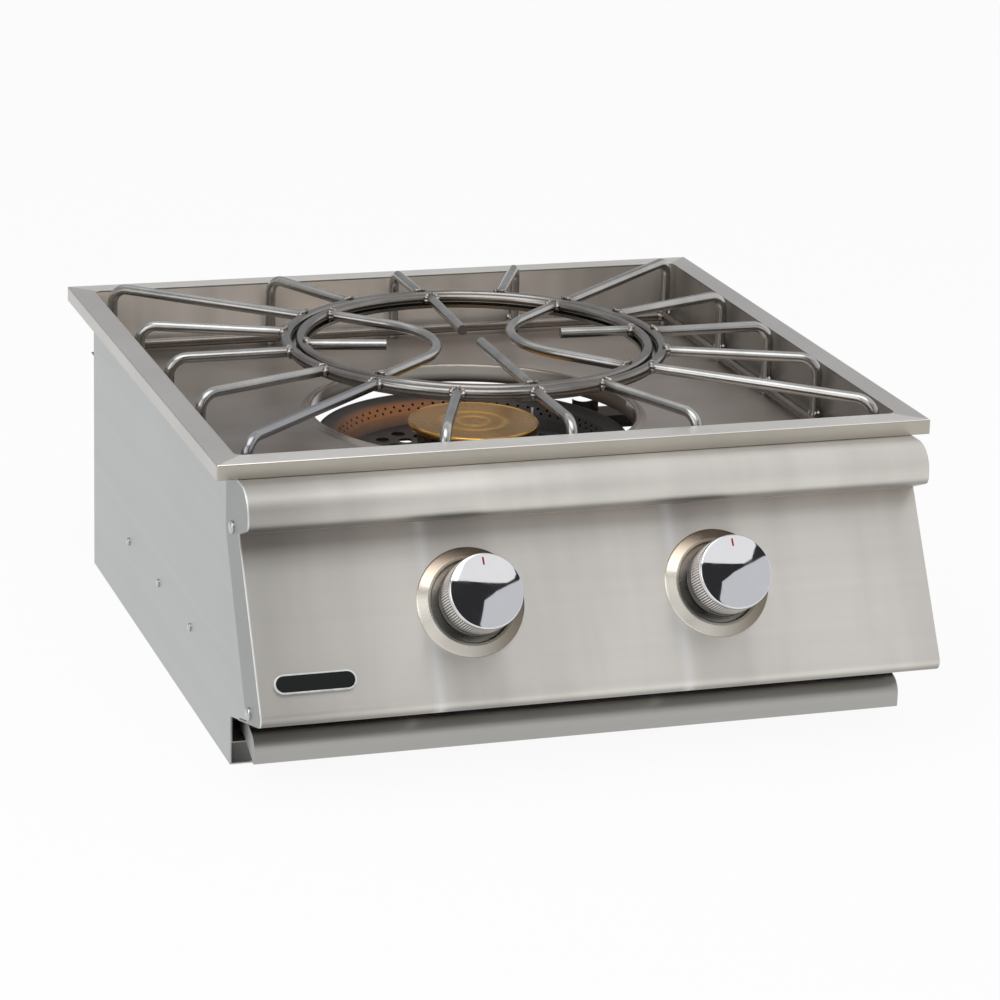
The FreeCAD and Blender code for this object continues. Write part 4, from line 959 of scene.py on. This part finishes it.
class Grates(bpy.types.Operator):
    """Swept rods, ground rings and weld beads of both cooking grates"""
    bl_idname = "side_burner.grates"
    bl_label = "Grates"

    def execute(self, context):
        own = settings("side_burner_grate")
        weld = plated_metal("weld_metal", own.weld_tint, 0.26)
        bead = bead_mesh(own.bead_radius, own.bead_ripples)
        up = Vector((0, 0, 1))
        self.outer(own, bead, weld, up)
        self.inner(own, bead, weld, up)
        return {"FINISHED"}

    def outer(self, own, bead, weld, up):
        """Sixteen bent legs between the ring and the frame that lies in the basin."""
        steel = rod_steel("spoke_steel", own.rod_tint, own.heat_tint, RING_R + ROD,
                          blue=own.blue_tint)
        paint(steel, "grate_ledge_ring")
        centre = Vector((RING_X, GRATE_Y, GRATE_Z))
        bead_z = FRAME_Z + 0.001
        spokes, joints = [], []
        for x, y, along in leg_places():
            corner = Vector((x, y, GRATE_Z))
            out = (corner - centre).normalized()
            foot = Vector((x, y, SPOKE_FOOT))
            spokes.append(bent_path([centre + out * (RING_R + WELD_DEPTH), corner, foot],
                                    LEG_BEND))
            joints.append((centre + out * RING_R, turned_frame(out, out.cross(up))))
            joints.append((Vector((x, y, bead_z)), turned_frame(up, along)))
        self.rods("outer_grate_rods", spokes, steel, own, "outer_grate", "outer_grate_spokes")
        inset = Vector((ROD, ROD, ROD))
        low, high = FRAME_LOW + inset, FRAME_HIGH - inset
        middle = ((low.x + high.x) / 2, low.y)
        corners = [middle, (high.x, low.y), (high.x, high.y), (low.x, high.y), (low.x, low.y),
                   middle]
        loop = bent_path([Vector((x, y, FRAME_Z)) for x, y in corners], FRAME_BEND)
        dull = rod_steel("base_steel", own.base_tint, own.heat_tint, RING_R + ROD)
        self.rods("outer_grate_base", [loop[:-1]], dull, own, "outer_grate",
                  "outer_grate_frame", closed=True)
        self.ring("outer_grate_top", RING_R, 0.0, own, "outer_grate", "outer_grate_ring")
        welds = instanced("outer_grate_welds", joints, bead, weld)
        finish_piece(welds, "outer_grate")

    def inner(self, own, bead, weld, up):
        """Two loops and four prongs that point inwards from the loose ring."""
        steel = rod_steel("loop_steel", own.rod_tint, own.heat_tint, INNER_R - ROD)
        self.ring("inner_grate_top", INNER_R, INNER_LIFT, own, "inner_grate",
                  "inner_grate_ring")
        joints, starts, tips = [], [], []
        for place, inward, tip in inner_ends():
            joints.append((place, turned_frame(inward, inward.cross(up))))
            starts.append(place + inward * WELD_DEPTH)
            tips.append(tip)
        for i, node in ((0, "left_grate_loop"), (2, "right_grate_loop")):
            path = bent_path([starts[i], tips[i], starts[i + 1]], LOOP_BEND, 24)
            self.rods(node + "_rod", [path], steel, own, "inner_grate", node)
        prongs = list(zip(starts, tips))[4:]
        self.rods("inner_grate_fingers", prongs, steel, own, "inner_grate",
                  "inner_grate_prongs")
        welds = instanced("inner_grate_welds", joints, bead, weld)
        finish_piece(welds, "inner_grate")

    def rods(self, name, paths, material, own, body, node, closed=False):
        piece = swept(name, paths, ROD, material, own.rod_sides, closed)
        finish_piece(piece, body, [node])

    def ring(self, name, radius, lift, own, body, node):
        """A closed ring whose top is ground flat."""
        steel = rod_steel(name + "_steel", Vector(own.rod_tint) * 0.72, own.heat_tint, radius,
                          ground=True)
        profile = [(radius + ROD * math.cos(turn), min(ROD * math.sin(turn), RING_TOP))
                   for turn in full_turn(own.rod_sides)]
        place = Matrix.Translation((RING_X, GRATE_Y, GRATE_Z + lift))
        piece = lathed(name, profile, steel, place, 160, 24)
        finish_piece(piece, body, [node])


def leg_places():
    """Feet of the outer grate's bent rods, and the way the frame runs there."""
    along_x, along_y = Vector((1, 0, 0)), Vector((0, 1, 0))
    places = [(sx * LEG_CORNER_X, sy * LEG_CORNER_Y, along_x) for sx in (-1, 1)
              for sy in (-1, 1)]
    for i in (-1, 0, 1):
        places.append((LEG_SIDE_X, i * LEG_SIDE_STEP, along_y))
        places.append((-LEG_SIDE_X, i * LEG_SIDE_STEP, along_y))
        places.append((i * LEG_FRONT_STEP, -LEG_FRONT_Y, along_x))
        places.append((i * LEG_BACK_STEP, LEG_BACK_Y, along_x))
    return [(FRAME_X + x, GRATE_Y + y, along) for x, y, along in places]


def inner_ends():
    """Where the inner grate's rods leave its ring, the way they run from there, and the
    corner or tip they run to. The loops' four ends come first, then the prongs."""
    left_corner, right_corner = (0.0015, 0.0104), (0.004, 0.007)
    runs = [((-0.104, 0.1145), left_corner), ((-0.119, -0.099), left_corner),
            ((0.112, 0.1067), right_corner), ((0.108, -0.1107), right_corner),
            ((-0.152, 0.020), (-0.082, 0.005)), ((0.153, 0.007), (0.084, 0.012)),
            ((0.005, 0.153), (0.0, 0.039)), ((0.002, -0.153), (0.0035, -0.005))]
    height = GRATE_Z + INNER_LIFT
    ends = []
    for (x0, y0), (x1, y1) in runs:
        start = Vector((x0, GRATE_Y + y0, height))
        tip = Vector((x1, GRATE_Y + y1, height))
        inward = (tip - start).normalized()
        offset = start - Vector((RING_X, GRATE_Y, height))
        half = offset.dot(inward)
        back = -half - math.sqrt(half * half - offset.dot(offset) + INNER_R ** 2)
        ends.append((start + inward * back, inward, tip))
    return ends


class Burners(bpy.types.Operator):
    """Cast iron burners, brass cap, base plate and igniter"""
    bl_idname = "side_burner.burners"
    bl_label = "Burners"

    def execute(self, context):
        own = settings("side_burner_burner")
        disc = lathed("burner_cap_disc", self.cap(), cap_brass(own.brass_tint),
                      Matrix.Translation((0, CAP_Y, 0)), 160)
        finish_piece(disc, "centre_cap", ["burner_cap"])
        paint(ring_iron(own.iron_tint, own.copper_tint), "ring_burner")
        paint(cast_metal("burner_iron", own.iron_tint, own.copper_tint), "inner_burner_head")
        paint(plated_metal("base_plate_steel", (0.10, 0.10, 0.10), 0.4), "burner_base_plate")
        paint(ceramic("igniter_ceramic", (0.78, 0.75, 0.70), (0.3, 0.26, 0.22)),
              "igniter_electrode")
        paint(plated_metal("bracket_steel", (0.35, 0.34, 0.33)), "electrode_bracket")
        return {"FINISHED"}

    def cap(self):
        """Outline of the brass cap: its top is dished, with two low raised rings."""
        swell, swell_half, step, ease = 0.0005, 0.0022, 0.001, 0.0015
        top, flange = CAP_HIGH.z, CAP_HIGH.z - CAP_FLANGE
        outline = [(0, CAP_LOW.z), (CAP_NECK_R, CAP_LOW.z), (CAP_NECK_R, flange),
                   (CAP_R - ease, flange), (CAP_R, flange + ease), (CAP_R, top - 0.0017),
                   (CAP_R - 0.0006, top - 0.0006), (CAP_FACE_R, top)]
        for i in range(1, math.ceil(CAP_FACE_R / step)):
            r = CAP_FACE_R - i * step
            rise = sum(swell * math.exp(-((r - ring) / swell_half) ** 2) for ring in CAP_RINGS)
            outline.append((r, top - CAP_DISH * (2 - r / CAP_FACE_R) + rise))
        return outline + [(0, top - CAP_DISH * 2)]


class Dials(bpy.types.Operator):
    """Chrome knobs with red marks and satin bezels"""
    bl_idname = "side_burner.dials"
    bl_label = "Knobs and Bezels"

    def execute(self, context):
        own = settings("side_burner_dial")
        # One chrome in four copies: the face as it is, the ribs lighter for a painted highlight,
        # and the side behind the ribs and the foot much darker for painted shade.
        chromes = [mirror_chrome(name, Vector(own.chrome_tint) * share, roughness)
                   for name, share, roughness in (
                       ("knob_chrome", 1.0, 0.035), ("knob_side_chrome", 0.22, 0.22),
                       ("knob_rib_chrome", 1.15, 0.12), ("knob_base_chrome", 0.16, 0.10))]
        red = enamel("mark_red", own.mark_tint, 0.6)
        paint_depth = 0.00006
        lean = math.pi / 2 - PANEL_TILT
        turn = Matrix.Rotation(lean, 4, "X")
        for side in ("left", "right"):
            paint(bezel_satin(side, own.bezel_tint, lean), side + "_bezel")
            self.knob(side, Matrix.Translation(dial_foot(side)) @ turn, own.ribs, *chromes)
            mesh = NODES[side + "_knob_mark"].data.copy()
            mesh.transform(Matrix.Translation(PANEL_OUT * paint_depth))
            mesh.materials.clear()
            mesh.materials.append(red)
            mark = added(side + "_mark_line", mesh)
            finish_piece(mark, side + "_dial", [side + "_knob_mark"])
        return {"FINISHED"}

    def knob(self, side, place, count, polished, dull, bright, dark):
        """Smooth foot, fine straight ribs and a turned shoulder under the polished face."""
        foot = [(0, KNOB_LOW), (KNOB_R - 0.0010, KNOB_LOW), (KNOB_R - 0.0002, KNOB_LOW + 0.0008),
                (KNOB_R, KNOB_LOW + 0.002), (KNOB_R, KNOB_GRIP - 0.0015),
                (KNOB_R - 0.0004, KNOB_GRIP - 0.0006), (KNOB_R - 0.0004, KNOB_GRIP),
                (0, KNOB_GRIP)]
        # The foot, in chrome darkened with painted shade.
        base = lathed(side + "_knob_base", foot, dark, place, 144)
        finish_piece(base, side + "_dial")
        shoulder = [(0, KNOB_GRIP), (KNOB_R - 0.0005, KNOB_GRIP),
                    (KNOB_R - 0.0005, KNOB_CAP - 0.0010), (KNOB_R - 0.0001, KNOB_CAP - 0.0006),
                    (KNOB_R - 0.0001, KNOB_CAP), (0, KNOB_CAP)]
        # The side behind the ribs, in chrome darkened with painted shade.
        body = lathed(side + "_knob_body", shoulder, dull, place, 144)
        finish_piece(body, side + "_dial", [side + "_knob"])
        face = lathed(side + "_knob_face", self.face(), polished, place, 192)
        finish_piece(face, side + "_dial", [side + "_knob_cap"])
        rib_half, rib_sunk, rib_end = 0.0006, 0.0003, 0.0008
        on_side = Vector((KNOB_R - rib_sunk, 0, 0))
        turns = [Matrix.Rotation(turn, 3, "Z") for turn in full_turn(count)]
        places = [(place @ (turn @ on_side), place.to_3x3() @ turn) for turn in turns]
        rib = rib_mesh(rib_half, KNOB_GRIP + rib_end, KNOB_CAP - rib_end)
        # The ribs, in chrome lightened with a painted highlight.
        ribs = instanced(side + "_knob_ribs", places, rib, bright)
        finish_piece(ribs, side + "_dial")

    def face(self):
        """Outline of the polished face: a shallow crown that rolls over a rounded edge."""
        reach = KNOB_R - KNOB_EDGE
        arm = CROWN_R - KNOB_EDGE
        lift = math.sqrt(arm ** 2 - reach ** 2)
        middle = KNOB_FACE - KNOB_EDGE
        outline = [(0, KNOB_CAP), (KNOB_R, KNOB_CAP)]
        lean = math.asin(reach / arm)
        for i in range(9):
            turn = (math.pi / 2 - lean) * i / 8
            outline.append((reach + KNOB_EDGE * math.cos(turn),
                            middle + KNOB_EDGE * math.sin(turn)))
        for i in range(1, 24):
            turn = lean * (1 - i / 23)
            outline.append((CROWN_R * math.sin(turn), middle - lift + CROWN_R * math.cos(turn)))
        return outline


class Badge(bpy.types.Operator):
    """Bare black badge in its chrome border"""
    bl_idname = "side_burner.badge"
    bl_label = "Badge"

    def execute(self, context):
        # The border is only partly metallic, so its light grey stands for a painted reflection of
        # bright chrome.
        paint(plated_metal("badge_chrome", (0.72, 0.73, 0.73), 0.3, 0.35), "badge_border")
        paint(enamel("badge_black", (0.012, 0.014, 0.014), 0.4), "badge_inlay")
        return {"FINISHED"}


class GasLine(bpy.types.Operator):
    """Valves, manifold, mixing tubes and the coiled springs behind the knobs"""
    bl_idname = "side_burner.gas_line"
    bl_label = "Gas Line"

    def execute(self, context):
        own = settings("side_burner_fitting")
        paint(cast_metal("valve_aluminium", (0.42, 0.42, 0.41), (0.33, 0.31, 0.28), 1.0, 0.42),
              "left_valve_body", "right_valve_body")
        paint(plated_metal("fitting_brass", (0.55, 0.40, 0.18), 0.28),
              "left_orifice", "right_orifice", "inlet_fitting")
        zinc = plated_metal("zinc_plating", (0.45, 0.45, 0.46), 0.36)
        paint(zinc, "gas_manifold", "manifold_brackets", "gas_supply_pipe")
        for side in ("left", "right"):
            paint(zinc, side + "_valve_stem", side + "_thrust_washer", side + "_mixing_tube",
                  side + "_air_shutter")
            self.coil(side, own, zinc)
        return {"FINISHED"}

    def coil(self, side, own, zinc):
        """A fixed wire coil between a knob and its valve; in the real burner a pushed knob
        squeezes it.
        """
        name = side + "_return_spring"
        low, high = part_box(name)
        middle = (low + high) / 2
        height = SPRING_LENGTH - own.coil_wire
        tree = Tree(side + "_coil", {
            "Wire Radius": own.coil_wire / 2, "Turns": own.coil_turns,
            "Radius": SPRING_R - own.coil_wire / 2, "Length": height})
        line = tree.node("GeometryNodeCurveSpiral", {
            "Resolution": 28, "Rotations": tree.given["Turns"],
            "Start Radius": tree.given["Radius"], "End Radius": tree.given["Radius"],
            "Height": tree.given["Length"]})
        wire = tree.bar(line, tree.given["Wire Radius"], 10)
        seed = bpy.data.meshes.new(side + "_coil_seed")
        piece = tree.grow(side + "_coil_spring", seed, wire, zinc)
        across = Vector((1, 0, 0))
        turn = Matrix((across, across.cross(-PANEL_OUT), -PANEL_OUT)).transposed()
        start = middle + PANEL_OUT * height / 2
        piece.data.transform(Matrix.Translation(start) @ turn.to_4x4())
        outward(piece.data)
        smooth(piece.data, 60)
        finish_piece(piece, "housing", [name])
        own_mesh(piece)


class Screws(bpy.types.Operator):
    """Plating of the screws along the side panels and in the bezels"""
    bl_idname = "side_burner.screws"
    bl_label = "Screws"

    def execute(self, context):
        own = settings("side_burner_fitting")
        paint(plated_metal("screw_plating", own.screw_tint, 0.25), "flange_screws",
              "rail_screws", "bezel_screws")
        return {"FINISHED"}


class Stage(bpy.types.Operator):
    """Pale floor, soft studio light and the camera"""
    bl_idname = "side_burner.stage"
    bl_label = "Stage"

    def execute(self, context):
        own = settings("side_burner_stage")
        self.floor(14.0)
        self.sky(own.sky_strength)
        self.lamp("key_light", (-0.6, -0.9, 2.4), (2.4, 1.6), own.key_power, 0.6)
        self.lamp("fill_light", (-2.4, -1.2, 1.2), (1.6, 1.6), own.fill_power, 0.35)
        self.card("dark_card", 5.0, own.dark_card,
                  [(-10, 6), (-10, 46.8), (-3, 46), (8, 44.8), (20.5, 42), (35, 38.2),
                   (41, 38.5), (46, 41), (64, 47), (64, 6), (40, 6), (20, 6)])
        self.card("pale_card", 4.8, own.pale_card,
                  [(7, 6), (11, 22.1), (16.6, 33.5), (26, 36.3), (35, 37), (48, 36.7),
                   (66, 34), (66, 6), (40, 6), (25, 6)])
        self.card("back_card", 5.2, own.back_card, self.band(range(130, 231, 10), 2, 36))
        self.card("left_card", 5.2, own.left_card, self.band((-125, -80, -42), 1, 52))
        self.card("top_card", 5.4, own.top_card, self.band((0, 180, 360), 56, 90))
        self.camera(context.scene, own.lens)
        context.scene.view_settings.view_transform = "Standard"
        return {"FINISHED"}

    def floor(self, reach):
        mesh = bpy.data.meshes.new("studio_floor")
        mesh.from_pydata([(-reach, -reach, 0), (reach, -reach, 0), (reach, reach, 0),
                          (-reach, reach, 0)], [], [(0, 1, 2, 3)])
        white = Finish("floor_white", (0.86, 0.86, 0.86), 0.0, 0.9)
        white.give("Specular IOR Level", 0.0)
        glow = white.node("ShaderNodeEmission", {"Strength": 1.0})
        self.blend(white, "Material Output", 0.93, white.shader.outputs["BSDF"],
                   glow.outputs["Emission"])
        mesh.materials.append(white.material)
        added("studio_floor", mesh)

    def band(self, turns, low, high):
        """Corners of a card that covers every azimuth of turns between two elevations."""
        return [(turn, low) for turn in turns] + [(turn, high) for turn in reversed(turns)]

    def card(self, name, reach, glow, corners):
        """A studio card that only shows in reflections. Corners are (azimuth, elevation) in
        degrees as seen from the knobs, azimuth from the front towards the right."""
        steps, rings = 4, 6
        outline = [Vector(here).lerp(Vector(ahead), i / steps)
                   for here, ahead in zip(corners, corners[1:] + corners[:1])
                   for i in range(steps)]
        around = len(outline)
        middle = sum(outline, Vector((0, 0))) / around
        spots = [middle.lerp(spot, k / rings) for k in range(1, rings + 1) for spot in outline]
        points = []
        for turn, rise in spots + [middle]:
            turn, rise = math.radians(turn), math.radians(rise)
            points.append(Vector((math.sin(turn) * math.cos(rise),
                                  -math.cos(turn) * math.cos(rise), math.sin(rise))) * reach)
        faces = [(i, (i + 1) % around, len(spots)) for i in range(around)]
        mesh = bpy.data.meshes.new(name)
        mesh.from_pydata(points, [], faces + ring_faces(rings, around))
        mesh.transform(Matrix.Translation((dial_foot("left") + dial_foot("right")) / 2))
        material = bpy.data.materials.new(name + "_glow")
        material.use_nodes = True
        wires = Wiring(material.node_tree)
        lit = wires.node("ShaderNodeEmission", {"Color": (0.96, 0.97, 1.0), "Strength": glow})
        wires.feed(wires.tree.nodes["Material Output"].inputs["Surface"],
                   lit.outputs["Emission"])
        mesh.materials.append(material)
        card = added(name, mesh)
        card.visible_camera = card.visible_diffuse = card.visible_shadow = False
        card.visible_transmission = card.visible_volume_scatter = False

    def sky(self, strength):
        """Even light on the object, white where the sky itself is seen."""
        world = bpy.data.worlds.new("studio_sky")
        bpy.context.scene.world = world
        world.use_nodes = True
        wires = Wiring(world.node_tree)
        wires.tree.nodes.clear()
        wires.node("ShaderNodeOutputWorld", name="World Output")
        even, white = (wires.node("ShaderNodeBackground", {"Color": (1, 1, 1), "Strength": glow})
                       for glow in (strength, 1.0))
        self.blend(wires, "World Output", 1.0, even.outputs["Background"],
                   white.outputs["Background"])

    def blend(self, wires, output, share, lighting, shown):
        """The object is lit by lighting. Where the surface itself is seen, straight on or in
        gloss, the given share of it is shown instead."""
        path = wires.node("ShaderNodeLightPath").outputs
        seen = wires.maths("MAXIMUM", path["Is Camera Ray"], path["Is Glossy Ray"])
        seen = wires.maths("MAXIMUM", seen, path["Is Transmission Ray"])
        mix = wires.node("ShaderNodeMixShader", {"Fac": wires.maths("MULTIPLY", seen, share),
                                                 1: lighting, 2: shown})
        wires.feed(wires.tree.nodes[output].inputs["Surface"], mix.outputs["Shader"])

    def lamp(self, name, place, size, power, gloss):
        data = bpy.data.lights.new(name, "AREA")
        data.shape = "RECTANGLE"
        data.size, data.size_y = size
        data.energy = power
        data.specular_factor = gloss
        lamp = added(name, data)
        lamp.location = place
        aim = Vector((0, 0, 0.15))
        lamp.rotation_euler = (aim - lamp.location).to_track_quat("-Z", "Y").to_euler()

    def camera(self, scene, lens):
        data = bpy.data.cameras.new("camera")
        data.lens = lens
        data.sensor_width = 36.0
        data.clip_end = 60.0
        camera = added("camera", data)
        forward = Vector((math.sin(CAMERA_TURN), math.cos(CAMERA_TURN), 0))
        level = Vector((math.cos(CAMERA_TURN), -math.sin(CAMERA_TURN), 0))
        ahead = forward * math.cos(CAMERA_PITCH) - Vector((0, 0, math.sin(CAMERA_PITCH)))
        down = ahead.cross(level)
        right = level * math.cos(CAMERA_ROLL) + down * math.sin(CAMERA_ROLL)
        down = down * math.cos(CAMERA_ROLL) - level * math.sin(CAMERA_ROLL)
        basis = Matrix((right, -down, -ahead)).transposed().to_4x4()
        camera.matrix_world = Matrix.Translation(CAMERA_PLACE) @ basis
        scene.camera = camera


class SideBurnerPanel(bpy.types.Panel):
    """Steps that dress the side burner"""
    bl_idname = "VIEW3D_PT_side_burner"
    bl_label = "Side Burner"
    bl_space_type = "VIEW_3D"
    bl_region_type = "UI"
    bl_category = "Side Burner"

    def draw(self, context):
        layout = self.layout
        for operator in OPERATORS:
            layout.operator(operator.bl_idname)
        for key, group in SETTINGS.items():
            box = layout.box()
            for field in group.__annotations__:
                box.prop(settings(key), field)


OPERATORS = (SheetMetal, Grates, Burners, Dials, Badge, GasLine, Screws, Stage)
CLASSES = tuple(SETTINGS.values()) + OPERATORS + (SideBurnerPanel,)


def register():
    for made in CLASSES:
        bpy.utils.register_class(made)
    for key, group in SETTINGS.items():
        setattr(bpy.types.Scene, key, PointerProperty(type=group))


def unregister():
    for key in SETTINGS:
        delattr(bpy.types.Scene, key)
    for made in reversed(CLASSES):
        bpy.utils.unregister_class(made)


def main():
    register()
    bpy.ops.side_burner.sheet_metal()
    bpy.ops.side_burner.grates()
    bpy.ops.side_burner.burners()
    bpy.ops.side_burner.dials()
    bpy.ops.side_burner.badge()
    bpy.ops.side_burner.gas_line()
    bpy.ops.side_burner.screws()
    bpy.ops.side_burner.stage()


if __name__ == "__main__":
    main()
